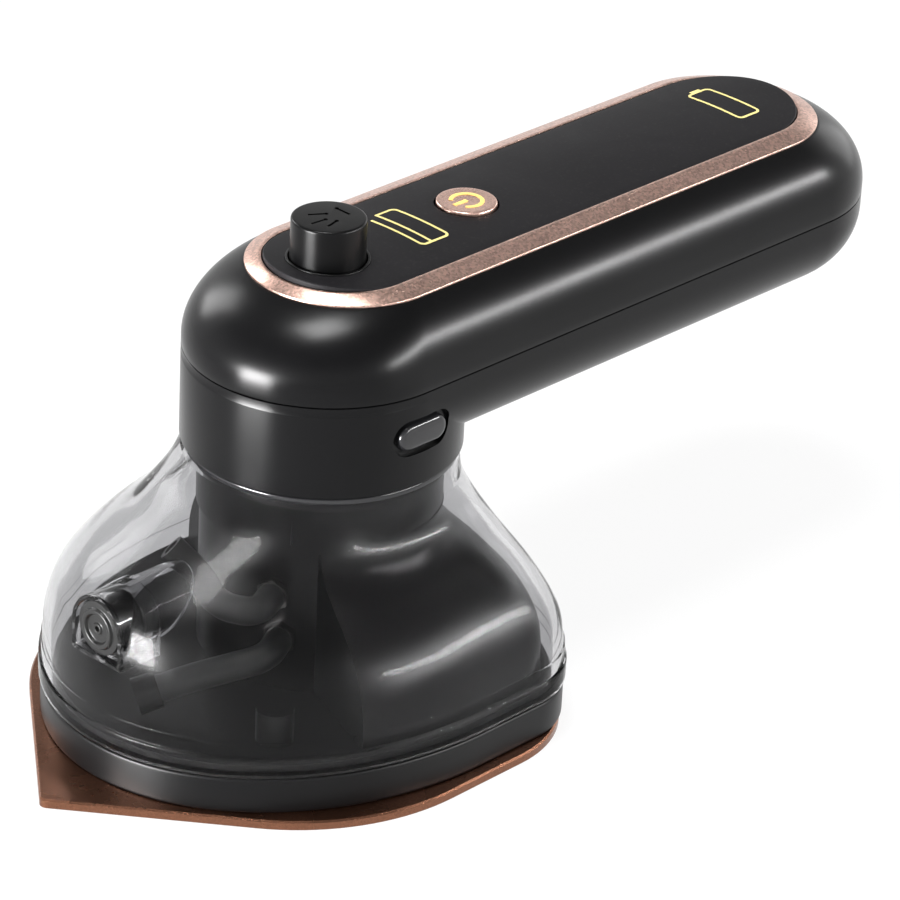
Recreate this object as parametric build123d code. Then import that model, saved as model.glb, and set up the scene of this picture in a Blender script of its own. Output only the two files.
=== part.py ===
from build123d import *
import os
from math import atan2, cos, degrees, pi, radians, sin, tan

# Cordless mini steam iron with a turning handle. Millimetres, +Z up.
# Origin: where the swivel axis meets the pressing face of the sole. The iron's point looks along -X.

# ---- fits and clearances ----
RUN = 0.08        # radial play of a turning or sliding fit
FREE = 0.3        # gap between parts that move past each other
SNUG = 0.05       # gap round a part that sits still in its seat
SCREW_PLAY = 0.1  # radial play round a screw

# ---- sole and heater ----
SOLE_T = 1.6
SOLE_POINT = 62.8       # from the axis to the point
SOLE_HALF = 43.3
SOLE_REAR = 30.5
SOLE_SHOULDER = 28.5    # where the two straight front edges would meet the sides
SOLE_POINT_R = 1.5
SOLE_SIDE_R = 39.5
SOLE_REAR_R = 23.0
SOLE_EDGE = 0.3
STEAM_HOLE_R = 1.1
STEAM_RING_COUNT = 14
BLOCK_T = 4.8
BLOCK_FRONT, BLOCK_SIDE, BLOCK_REAR = 46.0, 34.0, 27.0
CHAMBER_FRONT, CHAMBER_SIDE, CHAMBER_REAR = 26.0, 17.0, 16.0
CHAMBER_DEPTH = 3.2
COVER_T = 1.0
COVER_LAND = 3.0        # how far the cover reaches past the chamber
GASKET_T = 0.6
ELEMENT_R = 2.0
ELEMENT_BEND_R = 22.5
ELEMENT_BEND_X = -12.0
ELEMENT_END_X = 16.0
PIN_R = 0.8
PIN_L = 4.0
SHIELD_T = 0.6
SHIELD_HOLE_R = 21.5
SHIELD_HOLE_X = 4.0
THERMOSTAT_R, THERMOSTAT_H, THERMOSTAT_X = 6.5, 4.6, 12.0
FUSE_R, FUSE_L, FUSE_Y = 1.8, 10.0, 12.5

# ---- base ring and tank ----
BASE_H = 6.4
BASE_FRONT, BASE_SIDE, BASE_REAR = 51.4, 41.2, 31.8
BASE_WALL = 2.4
BASE_EDGE_R = 0.5
REAR_STRAIGHT = 14.0    # length of the straight sides behind the axis
REAR_FLAT = 16.0        # half length of the flat back
SEAM_LINE = 0.3         # shortest straight where the plan turns into a circle
FLOOR_SKIRT = 0.6       # dark step between base ring and tank
FLOOR_T = 1.8
RIM_PROUD = 0.35        # the tank's rim stands this far past the base ring
RIM_H = 3.7
STEP_H = 2.7
STEP_IN = 0.45
TANK_WALL = 1.6
TANK_TOP = 47.3
NECK_R = 23.3
SEAL_W, SEAL_H = 1.1, 1.2

# ---- filling neck ----
FILL_HALF = 6.0         # half width of the D-shaped mouth
FILL_Z = 29.4           # axis of the neck
FILL_DROP = 5.8         # from the axis down to the flat of the D
FILL_MOUTH_X = -50.7
FILL_FRAME_L = 9.0
FILL_LIP = 0.9
FILL_BORE_R = 4.5
FILL_WALL = 1.0
FILL_TOP_X, FILL_BOTTOM_X = -31.0, -41.0
PLUG_L = 6.0
PLUG_FLANGE_R, PLUG_FLANGE_T = 4.8, 0.7

# ---- core housing ----
CORE_R = 21.0
CORE_WALL = 2.0
CORE_DECK = 3.5
COLUMN_R, COLLAR_Z = 20.4, 36.5  # the column is slimmer below its collar
HOOD_X, HOOD_TURN = -9.0, -20.0  # the hood's front wall crosses the middle here and stands askew
HALL_Z, HALL_INSET = 21.0, 5.0   # dry hall under the hood
SCREW_BITE = 6.0        # how far the base screws reach into their posts
POST_CAP = 1.4          # material over the blind holes of the front posts
NECK_SEAL_H = 1.3
NECK_SEAL_DEPTH = 1.0

# ---- pump ----
PUMP_R, PUMP_BORE_R = 6.5, 4.6
PUMP_BASE_Z, PUMP_TOP_Z = 24.0, 43.8
VALVE_BLOCK_Z = 14.0
VALVE_BORE_R, BALL_R = 2.0, 1.7
PASSAGE_R = 1.1
PISTON_L = 5.0
PISTON_TRAVEL = 4.0
PISTON_LOW = 7.0        # from the cylinder's underside to the pressed piston
PISTON_Z = PUMP_BASE_Z + PISTON_LOW + PISTON_TRAVEL   # at rest
ROD_R = 1.9
ROD_SEAT = 2.6          # height of the rod's end above the piston's underside
FEED_R, FEED_BORE_R = 2.4, 1.3
INLET_ANGLE = -151.0    # direction of the suction fitting round the axis
INLET_Z = 20.0
HOSE_R, HOSE_BORE_R, HOSE_TAIL_R = 2.4, 1.5, 1.85
VENT_ANGLE, VENT_Z = -155.0, 28.0
FITTING_OUT = 2.4
HOSE_LEAD = 6.2         # straight length pushed over the fitting
WEIGHT_R = 3.2

# ---- swivel ----
TURRET_R = 24.08
TURRET_Z = 48.6
RING_T = 1.0
HUB_R, HUB_WALL, HUB_TOP = 17.3, 4.3, 52.2
HUB_SHELF_T = 2.0
CABLE_BORE_R = 7.4
RETAINER_R, RETAINER_T = 20.4, 1.6
DETENT_IN_R, DETENT_DEPTH, DETENT_HALF = 13.6, 1.5, 3.4
WASHER_T = 1.1

# ---- handle ----
HANDLE_HALF = TURRET_R
CELL_R, CELL_L, CELL_X0, CELL_Y = 9.0, 64.8, 30.0, 9.4
END_ROOM = 7.5               # from the cells to the centre of the far end
HANDLE_L = CELL_X0 + CELL_L + END_ROOM   # from the axis to the centre of the far end
SHELL_WALL = 2.2
SEAM_Z = TURRET_Z + 16.84
SEAM_GAP = 0.2
TONGUE_T, TONGUE_H = 0.8, 1.5   # lip of the lower shell inside the upper one
TONGUE_ROOT = 1.2
BELLY_Z = TURRET_Z + 2.0
BELLY_R = 12.2
CROWN_Z = TURRET_Z + 18.36   # where the upper rounding starts
CROWN_H, CROWN_W = 14.0, 13.7
CROWN_ANGLE = 59.7           # degrees of rounding up to the trim ring
CROWN_STEPS = 5
HEAD_DRAW, FAR_DRAW = 0.687, 0.53   # how much more the two ends draw in than the sides
ROOF_T = 2.2
TRIM_T, TRIM_H = 0.35, 1.5
TRIM_IN_HALF, TRIM_IN_HEAD = 13.5, 3.4
TRIM_IN_FAR = HANDLE_L - TRIM_IN_HEAD
PANEL_H = 1.5           # at its long edges, level with the trim ring's inner edge
PANEL_ARCH = 1.0        # how far its middle line stands above them
PANEL_GAP = 0.2         # groove between panel and trim ring
PANEL_EDGE = 0.3

# ---- controls ----
KNOB_R, KNOB_TOP, KNOB_SKIRT = 6.4, TURRET_Z + 40.3, TURRET_Z + 29.0
KNOB_FACE_T, KNOB_WALL = 3.0, 1.4
STEM_DEPTH = 3.0        # how far the rod reaches into the knob
BEZEL_R, BEZEL_WALL, BEZEL_PROUD = 7.15, 0.45, 0.2
MARK_DEPTH, MARK_W = 0.4, 0.5
JETS = [((0.4, 1.1), (-2.2, 2.8)), ((-1.2, -0.4), (-4.2, -0.1)), ((-0.2, -2.0), (-2.8, -2.6))]
NOZZLE = ((3.2, 1.5), (3.2, -1.6))
POWER_X, POWER_R, POWER_TRAVEL = 33.0, 5.3, 0.6
POWER_GAP, POWER_RISE, POWER_EDGE_R = 0.35, 0.5, 0.4
POWER_FLANGE_R, POWER_FLANGE_T = 6.4, 0.7
POWER_MARK_R, POWER_LINE = 2.7, 0.75
ICON_T, ICON_LINE, ICON_R = 0.25, 0.5, 1.2
HEAT_ICON_X0, HEAT_ICON_X1, HEAT_ICON_HALF, HEAT_STRIP = 15.5, 22.3, 6.9, 2.4
CELL_ICON_X0, CELL_ICON_X1, CELL_ICON_HALF = HANDLE_L - 6.1, HANDLE_L - 0.3, 6.6
RELEASE_W, RELEASE_H, RELEASE_Z = 10.7, 4.7, TURRET_Z + 9.4
RECESS_W, RECESS_H, RECESS_DEPTH = 13.0, 6.6, 1.4
RELEASE_TRAVEL = 2.0

# ---- electrics ----
CELL_Z = TURRET_Z + 13.5
HOLDER_T = 1.4
TAB_T, TAB_REACH, TAB_HALF = 0.2, 5.0, 3.0
BOARD_T, BOARD_HALF = 1.2, 14.0
BOARD_X0, BOARD_X1 = CELL_X0 - 1.6, CELL_X0 + CELL_L + 1.8
BOARD_Z = TURRET_Z + 23.0
CHIPS = [(0.26, 0, 7, 7, 1.0), (0.43, 6, 5, 4, 1.2), (0.43, -7, 5, 4, 1.2), (0.58, 0, 6, 8, 2.4),
         (0.76, 7, 4, 3, 1.0), (0.76, -7, 4, 3, 1.0)]   # place along the board, y, length, width, height
SWITCH_SIDE, SWITCH_H = 6.0, 1.6
PORT_W, PORT_H, PORT_L, PORT_WALL = 9.2, 3.5, 7.4, 0.4
PORT_Z = TURRET_Z + 13.6
CHARGE_T, CHARGE_HALF = 1.2, 7.0
CHARGE_X0, CHARGE_X1 = HANDLE_L - 2.3, HANDLE_L + 18.7

# ---- fasteners ----
M3_R, M3_HEAD_R, M3_HEAD_T = 1.5, 2.7, 1.6
M2_R, M2_HEAD_R, M2_HEAD_T = 1.0, 1.9, 1.2
BOSS_R = 2.8
CASE_SCREWS = [(24.5, 13.5), (24.5, -13.5), (HANDLE_L + 3.7, 11.5), (HANDLE_L + 3.7, -11.5)]
BASE_SCREWS = [(12.0, 28.5), (12.0, -28.5), (-29.7, 21.1), (-29.7, -21.1)]

# ---- derived levels ----
BLOCK_TOP = SOLE_T + BLOCK_T
CHAMBER_Z = BLOCK_TOP - CHAMBER_DEPTH
COVER_TOP = BLOCK_TOP + COVER_T
FLOOR_Z = SOLE_T + BASE_H
TANK_Z = FLOOR_Z + FLOOR_SKIRT
RIM_Z = TANK_Z + RIM_H
DOME_Z = RIM_Z + STEP_H
DECK_Z = TANK_TOP - CORE_DECK
ROOF_Z = CROWN_Z + CROWN_H * sin(radians(CROWN_ANGLE))
PANEL_Z = ROOF_Z + PANEL_H + PANEL_ARCH   # the panel's middle line
ARCH_R = (TRIM_IN_HALF ** 2 + PANEL_ARCH ** 2) / (2 * PANEL_ARCH)

# Tank and core bells: height, then how far they reach in front, to the side and behind, and how square
# the rear is (1 at the foot, 0 where the plan has become a circle).
TANK_BELL = [
    (DOME_Z, BASE_FRONT - 0.2, BASE_SIDE - 0.3, BASE_REAR - 0.5, 1.0),
    (21.0, 51.0, 40.0, 29.8, 1.0),
    (27.0, 50.3, 36.6, 27.9, 0.78),
    (33.0, 47.6, 30.9, 25.9, 0.42),
    (39.0, 38.2, 25.0, 24.6, 0.14),
    (43.5, 29.0, 23.7, 23.9, 0.0),
    (TANK_TOP, 24.4, NECK_R, NECK_R, 0.0),
]
CORE_BELL = [
    (FLOOR_Z + FLOOR_T, 46.0, 37.2, 27.4, 1.0),
    (17.0, 45.0, 36.7, 27.0, 1.0),
    (22.5, 41.0, 34.0, 26.0, 0.9),
    (26.5, 35.0, 29.6, 24.7, 0.6),
    (29.5, 28.0, 25.2, 23.1, 0.3),
    (33.0, 22.8, 22.0, 21.7, 0.0),
    (38.0, CORE_R, CORE_R, CORE_R, 0.0),
]


# ---------------------------------------------------------------- shared shapes

def egg(front, side, rear, square=1.0, z=0.0):
    """Plan face of the head: half an ellipse in front, a rounded end behind with a short flat back."""
    straight = max(REAR_STRAIGHT * square, SEAM_LINE)
    flat = max(REAR_FLAT * square, SEAM_LINE)
    corner_x, corner_y = rear - straight, side - flat
    front_arc = EllipticalCenterArc((0, 0), front, side, 90, arc_size=180)
    left_arc = EllipticalCenterArc((straight, -flat), corner_x, corner_y, 270, arc_size=90)
    right_arc = EllipticalCenterArc((straight, flat), corner_x, corner_y, 0, arc_size=90)
    edges = [front_arc, Line((0, -side), (straight, -side)), left_arc,
             Line((rear, -flat), (rear, flat)), right_arc, Line((straight, side), (0, side))]
    return Pos(0, 0, z) * make_face(Wire(edges))


def egg_prism(front, side, rear, z0, z1, inset=0.0):
    return extrude(egg(front - inset, side - inset, rear - inset, 1.0, z0), z1 - z0)


def bell(sections, inset=0.0, drop=0.0):
    """Smooth solid through egg sections; a cavity is the same bell, set in and lowered."""
    faces = [egg(f - inset, s - inset, r - inset, q, z - drop) for z, f, s, r, q in sections]
    return loft(faces)


def stadium(half, x0, x1, z=0.0):
    """Plan face of the handle: two half circles about (x0, 0) and (x1, 0), joined by straights."""
    return Pos((x0 + x1) / 2, 0, z) * SlotCenterToCenter(x1 - x0, 2 * half)


def disc(r, z0, z1, x=0.0, y=0.0):
    return Pos(x, y, z0) * extrude(Circle(r), z1 - z0)


def ring(r_out, r_in, z0, z1, x=0.0, y=0.0):
    return disc(r_out, z0, z1, x, y) - disc(r_in, z0 - 1, z1 + 1, x, y)


def block(x0, x1, y0, y1, z0, z1):
    return Pos((x0 + x1) / 2, (y0 + y1) / 2, (z0 + z1) / 2) * Box(x1 - x0, y1 - y0, z1 - z0)


def rod_x(r, x0, x1, y=0.0, z=0.0):
    return Pos(x0, y, z) * Rot(0, 90, 0) * extrude(Circle(r), x1 - x0)


def spoke(r, d0, d1, angle, z):
    """Round bar pointing away from the axis at the given angle, from d0 to d1."""
    return Rot(0, 0, angle) * rod_x(r, d0, d1, 0, z)


def coil(radius, wire, z0, z1, turns):
    """Round-wire compression spring along +Z whose outer ends lie at z0 and z1."""
    height = z1 - z0 - 2 * wire
    path = Helix(height / turns, height, radius)
    start = Plane(origin=path @ 0, z_dir=path % 0)
    return Pos(0, 0, z0 + wire) * sweep(start * Circle(wire), path, is_frenet=True)


def screw(r, head_r, head_t, length):
    """Pan-head screw along +Z: its head's underside is at 0 and its shank points down."""
    head = extrude(Circle(head_r), head_t) - Pos(0, 0, head_t) * Box(head_r * 1.3, 0.5, 0.9)
    return head + Pos(0, 0, -length) * extrude(Circle(r), length)


def stroke(points, width, z, depth):
    """Raised or sunk line of the given width along the points, from z upwards."""
    return Pos(0, 0, z) * extrude(trace(Polyline(*points), width), depth)


# ---------------------------------------------------------------- sole and heater

def sole_outline():
    corners = [(-SOLE_POINT, 0), (-SOLE_SHOULDER, -SOLE_HALF), (SOLE_REAR, -SOLE_HALF),
               (SOLE_REAR, SOLE_HALF), (-SOLE_SHOULDER, SOLE_HALF)]
    radii = [SOLE_POINT_R, SOLE_SIDE_R, SOLE_REAR_R, SOLE_REAR_R, SOLE_SIDE_R]
    return make_face(FilletPolyline(*corners, radius=radii, close=True))


def steam_holes():
    """Steam holes: a ring that follows the chamber's wall and a row on the centre line."""
    holes = []
    margin = 2.2 * STEAM_HOLE_R + 1.5
    for i in range(STEAM_RING_COUNT):
        angle = 2 * pi * (i + 0.5) / STEAM_RING_COUNT
        reach = (CHAMBER_FRONT if cos(angle) < 0 else CHAMBER_REAR) - margin
        holes.append((reach * cos(angle), (CHAMBER_SIDE - margin) * sin(angle)))
    holes += [(-2 * margin * k, 0) for k in (1, 2)]
    return [disc(STEAM_HOLE_R, -1, CHAMBER_Z + 1, x, y) for x, y in holes]


def sole_plate():
    plate = extrude(sole_outline(), SOLE_T)
    plate = chamfer(plate.edges().group_by(Axis.Z)[-1], SOLE_EDGE)
    return plate - steam_holes()


def element_path():
    """U shape: two legs along X joined by a half circle round the front."""
    z = BLOCK_TOP - 0.9 * ELEMENT_R
    rear, bend, r = ELEMENT_END_X, ELEMENT_BEND_X, ELEMENT_BEND_R
    legs = [Line((rear, r, z), (bend, r, z)), Line((bend, -r, z), (rear, -r, z))]
    arc = ThreePointArc((bend, r, z), (bend - r, 0, z), (bend, -r, z))
    return Wire([legs[0], arc, legs[1]])


def along_element(r):
    path = element_path()
    return sweep(Plane(origin=path @ 0, z_dir=path % 0) * Circle(r), path)


def heater_block():
    body = egg_prism(BLOCK_FRONT, BLOCK_SIDE, BLOCK_REAR, SOLE_T, BLOCK_TOP)
    body -= egg_prism(CHAMBER_FRONT, CHAMBER_SIDE, CHAMBER_REAR, CHAMBER_Z, BLOCK_TOP + 1)
    body -= egg_prism(CHAMBER_FRONT, CHAMBER_SIDE, CHAMBER_REAR, BLOCK_TOP - GASKET_T, BLOCK_TOP + 1,
                      inset=-COVER_LAND / 2)
    body -= steam_holes()
    groove = ELEMENT_R + SNUG
    body -= along_element(groove)
    slot_z = BLOCK_TOP - 0.9 * ELEMENT_R
    bend = extrude(Pos(ELEMENT_BEND_X, 0, slot_z) * Circle(ELEMENT_BEND_R + groove), 3)
    bend -= extrude(Pos(ELEMENT_BEND_X, 0, slot_z) * Circle(ELEMENT_BEND_R - groove), 3)
    body -= bend & block(-90, ELEMENT_BEND_X, -60, 60, 0, 20)
    for side in (-1, 1):
        y = side * ELEMENT_BEND_R
        body -= block(ELEMENT_BEND_X, ELEMENT_END_X + PIN_L + 8, y - groove, y + groove, slot_z, 20)
        body -= rod_x(groove, ELEMENT_END_X - 1, ELEMENT_END_X + PIN_L + 8, y, slot_z)
    for x, y in BASE_SCREWS:
        body -= disc(M3_R + SCREW_PLAY, 0, 20, x, y)
        body -= disc(M3_HEAD_R + SCREW_PLAY, 0, SOLE_T + M3_HEAD_T + 0.4, x, y)
    return body


def heating_element():
    sheath = along_element(ELEMENT_R)
    z = BLOCK_TOP - 0.9 * ELEMENT_R
    for side in (-1, 1):
        sheath += rod_x(PIN_R, ELEMENT_END_X - 1, ELEMENT_END_X + PIN_L, side * ELEMENT_BEND_R, z)
    return sheath


def chamber_gasket():
    outer = egg_prism(CHAMBER_FRONT, CHAMBER_SIDE, CHAMBER_REAR, BLOCK_TOP - GASKET_T, BLOCK_TOP,
                      inset=SNUG - COVER_LAND / 2)
    return outer - egg_prism(CHAMBER_FRONT, CHAMBER_SIDE, CHAMBER_REAR, 0, 20)


def chamber_cover():
    plate = egg_prism(CHAMBER_FRONT, CHAMBER_SIDE, CHAMBER_REAR, BLOCK_TOP, COVER_TOP,
                      inset=-COVER_LAND)
    plate -= along_element(ELEMENT_R + FREE)
    return plate - disc(FEED_BORE_R, 0, 20)


def thermostat():
    z = COVER_TOP
    can = disc(THERMOSTAT_R, z, z + THERMOSTAT_H, THERMOSTAT_X)
    can = chamfer(can.edges().group_by(Axis.Z)[-1], 0.4)
    tab_z = z + THERMOSTAT_H
    for side in (-1, 1):
        y = side * THERMOSTAT_R * 0.55
        can += block(THERMOSTAT_X - 1.5, THERMOSTAT_X + 1.5, y - 0.3, y + 0.3, tab_z - 0.5, tab_z + 3.5)
    return can


def thermostat_clip():
    """Ring clip round the thermostat with two ears that lie on the chamber cover."""
    r = THERMOSTAT_R + SNUG
    z = COVER_TOP
    band = ring(r + 0.6, r, z, z + 1.6, THERMOSTAT_X)
    for side in (-1, 1):
        reach = side * (r + 0.3)
        ends = sorted((reach, side * (r + 4.0)))
        band += block(THERMOSTAT_X - 1.6, THERMOSTAT_X + 1.6, ends[0], ends[1], z, z + 0.6)
    return band


def thermal_fuse():
    z = COVER_TOP + FUSE_R
    x0 = -FUSE_L / 2 - 4.0
    body = rod_x(FUSE_R, x0, x0 + FUSE_L, FUSE_Y, z)
    return body + rod_x(0.5, x0 - 3, x0 + FUSE_L + 3, FUSE_Y, z)


def heat_shield():
    inset = BASE_WALL + FREE
    plate = egg_prism(BASE_FRONT, BASE_SIDE, BASE_REAR, FLOOR_Z - SHIELD_T, FLOOR_Z, inset)
    plate -= disc(SHIELD_HOLE_R, 0, 20, SHIELD_HOLE_X)
    for x, y in BASE_SCREWS:
        plate -= disc(M3_R + SCREW_PLAY, 0, 20, x, y)
    for side in (-1, 1):
        x, y = ELEMENT_END_X + PIN_L, side * ELEMENT_BEND_R
        plate -= block(x - 4, x, y - 2, y + 2, 0, 20)
    return plate


def base_ring():
    body = egg_prism(BASE_FRONT, BASE_SIDE, BASE_REAR, SOLE_T, FLOOR_Z)
    levels = body.edges().group_by(Axis.Z)
    body = chamfer(levels[0] + levels[-1], BASE_EDGE_R)
    return body - egg_prism(BASE_FRONT, BASE_SIDE, BASE_REAR, 0, 20, BASE_WALL)


def base_screws():
    length = FLOOR_Z + SCREW_BITE - SOLE_T - M3_HEAD_T - 0.2
    screws = []
    for x, y in BASE_SCREWS:
        turned = Rot(180, 0, 0) * screw(M3_R, M3_HEAD_R, M3_HEAD_T, length)
        screws.append(Pos(x, y, SOLE_T + M3_HEAD_T + 0.2) * turned)
    return Compound(screws)


# ---------------------------------------------------------------- tank

def rim_size(inset=0.0):
    grow = RIM_PROUD - inset
    return BASE_FRONT + grow, BASE_SIDE + grow, BASE_REAR + grow


def fill_profile(grow=0.0):
    """D-shaped mouth seen along X: an arch on straight sides and a flat sill."""
    r = FILL_HALF + grow
    arch = Pos(0, 0) * Circle(r)
    sill = Pos(0, -(FILL_DROP + grow) / 2) * Rectangle(2 * r, FILL_DROP + grow)
    # the arch is trimmed at the axis so that only the sill's straight sides lie below it
    return (arch & Pos(0, r) * Rectangle(4 * r, 2 * r)) + sill


def along_x(sketch, x0, x1, z):
    """Carries a sketch (its x = row Y, its y = row Z) along X from x0 to x1."""
    start = Plane(origin=(x0, 0, z), x_dir=(0, 1, 0), z_dir=(1, 0, 0))
    return extrude(start * sketch, x1 - x0)


def tank_shell():
    outer = bell(TANK_BELL)
    outer += egg_prism(*rim_size(), TANK_Z, RIM_Z)
    outer += egg_prism(*rim_size(STEP_IN), RIM_Z, DOME_Z)
    drop = 0.9 * TANK_WALL
    foot = TANK_BELL[0]
    shell = outer - bell(TANK_BELL, inset=TANK_WALL, drop=drop)
    shell -= egg_prism(foot[1], foot[2], foot[3], TANK_Z - 1, DOME_Z - drop, TANK_WALL)
    shell -= disc(CORE_R + FREE, DOME_Z, TANK_TOP + 1)
    return shell - along_x(fill_profile(SNUG), FILL_MOUTH_X - 5, -40, FILL_Z)


def fill_neck():
    frame = along_x(fill_profile(), FILL_MOUTH_X, FILL_MOUTH_X + FILL_FRAME_L, FILL_Z)
    frame -= along_x(fill_profile(-FILL_LIP), FILL_MOUTH_X - 1, FILL_MOUTH_X + 1.2, FILL_Z)
    r = FILL_BORE_R + FILL_WALL
    tube = rod_x(r, FILL_MOUTH_X + 2, FILL_TOP_X, 0, FILL_Z)
    slope = degrees(atan2(2 * r, FILL_TOP_X - FILL_BOTTOM_X))
    knife = Pos(0, 0, TANK_TOP) * Box(4 * TANK_TOP, 2 * TANK_TOP, 2 * TANK_TOP)
    knife = Pos(FILL_TOP_X, 0, FILL_Z + r) * Rot(0, 180 - slope, 0) * knife
    neck = frame + (tube - knife)
    return neck - rod_x(FILL_BORE_R, FILL_MOUTH_X - 1, 0, 0, FILL_Z)


def fill_plug():
    """Rubber plug: stem in the bore, flange in the mouth, raised ring and a dimple."""
    seat = FILL_MOUTH_X + 1.2
    stem = rod_x(FILL_BORE_R - RUN, seat, seat + PLUG_L, 0, FILL_Z)
    flange = rod_x(PLUG_FLANGE_R, seat - PLUG_FLANGE_T, seat, 0, FILL_Z)
    face = seat - PLUG_FLANGE_T
    bead = rod_x(3.6, face - 0.6, face, 0, FILL_Z) - rod_x(2.5, face - 1, face + 0.2, 0, FILL_Z)
    nub = rod_x(1.1, face - 0.35, face, 0, FILL_Z)
    return stem + flange + bead + nub - rod_x(0.45, face - 1, face + 0.3, 0, FILL_Z)


def tank_seal():
    foot = TANK_BELL[0]
    inset = TANK_WALL + SNUG
    outer = egg_prism(foot[1], foot[2], foot[3], TANK_Z, TANK_Z + SEAL_H, inset)
    return outer - egg_prism(foot[1], foot[2], foot[3], 0, 40, inset + SEAL_W)


def neck_seal():
    z1 = DECK_Z + CORE_DECK - 1.2
    return ring(CORE_R + FREE - RUN, CORE_R - NECK_SEAL_DEPTH + SNUG, z1 - NECK_SEAL_H, z1)


# ---------------------------------------------------------------- core housing

def hood_side(x0, x1, z0=FLOOR_Z + FLOOR_T):
    """Space between two distances behind the face of the hood's skew front wall."""
    return Pos(HOOD_X, 0, 0) * Rot(0, 0, HOOD_TURN) * block(x0, x1, -80, 80, z0, 60)


def post_height(x):
    """The rear posts hang from the hood; the front ones stand in the well, closed on top."""
    return HALL_Z + 1.0 if x > 0 else FLOOR_Z + SCREW_BITE + 0.4 + POST_CAP


def core_floor():
    foot = TANK_BELL[0]
    skirt = egg_prism(*rim_size(), FLOOR_Z, TANK_Z, inset=0.8)
    step = egg_prism(foot[1], foot[2], foot[3], TANK_Z, FLOOR_Z + FLOOR_T,
                     TANK_WALL + SEAL_W + 2 * SNUG)
    return skirt + step


def core_cavity():
    """Dry space under the hood and the column's bore."""
    under = CORE_BELL[0]
    foot = FLOOR_Z - 1
    hall = egg_prism(under[1], under[2], under[3], foot, HALL_Z, HALL_INSET)
    hall &= hood_side(CORE_WALL, 100, foot)
    return hall + disc(CORE_R - CORE_WALL, foot, DECK_Z)


def core_housing():
    well = hood_side(-100, 0)
    body = bell(CORE_BELL) - (well - disc(CORE_R, 0, 80))
    body = body + disc(CORE_R, CORE_BELL[-1][0], TANK_TOP) + core_floor()
    body -= ring(CORE_R + 4, COLUMN_R, FLOOR_Z + FLOOR_T, COLLAR_Z) & well
    for x, y in BASE_SCREWS:
        body += disc(BOSS_R + 0.4, FLOOR_Z, post_height(x), x, y)
    body -= core_cavity() - [disc(BOSS_R + 0.4, 0, 60, x, y) for x, y in BASE_SCREWS]
    body -= disc(PUMP_R + FREE, 0, TANK_TOP + 1)
    for x, y in BASE_SCREWS:
        body -= disc(M3_R + SCREW_PLAY, 0, FLOOR_Z + SCREW_BITE + 0.4, x, y)
    body -= [spoke(HOSE_TAIL_R + 0.1, CORE_R - 6, CORE_R + 1, INLET_ANGLE, INLET_Z),
             spoke(HOSE_TAIL_R + 0.1, CORE_R - 6, CORE_R + 1, VENT_ANGLE, VENT_Z)]
    seal_top = DECK_Z + CORE_DECK - 1.2
    body -= ring(CORE_R + 1, CORE_R - NECK_SEAL_DEPTH, seal_top - NECK_SEAL_H, seal_top)
    for x, y in ring_points(3, 10.6, 60):
        body -= disc(M2_R + SCREW_PLAY, DECK_Z - 1, TANK_TOP + 1, x, y)
    return body


def ring_points(count, radius, start=0.0):
    turn = 360 / count
    angles = [radians(start + turn * i) for i in range(count)]
    return [(radius * cos(a), radius * sin(a)) for a in angles]


# ---------------------------------------------------------------- pump and hoses

def pump_cylinder():
    body = disc(PUMP_R, PUMP_BASE_Z, PUMP_TOP_Z) - disc(PUMP_BORE_R, PUMP_BASE_Z + 2, PUMP_TOP_Z + 1)
    flange = ring(CORE_R - CORE_WALL - 6, PUMP_R - 0.5, DECK_Z - 1.6, DECK_Z)
    body = body + flange - disc(PASSAGE_R, PUMP_BASE_Z - 1, PUMP_BASE_Z + 3)
    for x, y in ring_points(3, 10.6, 60):
        body -= disc(M2_R + SCREW_PLAY, 0, 60, x, y)
    return body


def valve_block():
    body = disc(PUMP_R, VALVE_BLOCK_Z, PUMP_BASE_Z)
    body += spoke(3.2, 0, PUMP_R + 2, INLET_ANGLE, INLET_Z)
    body -= disc(VALVE_BORE_R, VALVE_BLOCK_Z - 1, VALVE_BLOCK_Z + 3.2)
    body -= disc(PASSAGE_R, VALVE_BLOCK_Z, PUMP_BASE_Z + 1)
    body -= spoke(VALVE_BORE_R, 2.6, PUMP_R + 3, INLET_ANGLE, INLET_Z)
    return body - spoke(PASSAGE_R, 0, PUMP_R, INLET_ANGLE, INLET_Z)


def valve_balls():
    outlet = Pos(0, 0, VALVE_BLOCK_Z + 1.4) * Sphere(BALL_R)
    inlet = Rot(0, 0, INLET_ANGLE) * Pos(4.4 - 0.05, 0, INLET_Z) * Sphere(BALL_R * 0.6)
    return Compound([outlet, inlet])


def feed_tube():
    tube = ring(FEED_R, FEED_BORE_R, COVER_TOP, VALVE_BLOCK_Z)
    return tube - Pos(0, 0, VALVE_BLOCK_Z + 1.4) * Sphere(BALL_R + SNUG)


def fitting(angle, z, inner):
    """Hose fitting screwed into the column: hexagonal flange outside, barbed spigot, inner tail."""
    flat = Rot(0, 0, angle) * Pos(COLUMN_R - 1, 0, z) * Rot(0, 90, 0) * extrude(RegularPolygon(3.0, 6), 2.4)
    saddle = disc(COLUMN_R + SNUG, z - 6, z + 6)
    body = flat - saddle
    body += spoke(HOSE_TAIL_R, inner, COLUMN_R + 1.4, angle, z)
    body += spoke(HOSE_BORE_R - SNUG, COLUMN_R + 1, COLUMN_R + 1.4 + FITTING_OUT, angle, z)
    return body - spoke(HOSE_BORE_R * 0.5, inner - 1, CORE_R + 10, angle, z)


def hose_start(angle, z, out=0.0):
    d = COLUMN_R + 1.4 + 0.1 + out
    return (d * cos(radians(angle)), d * sin(radians(angle)), z)


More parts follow.
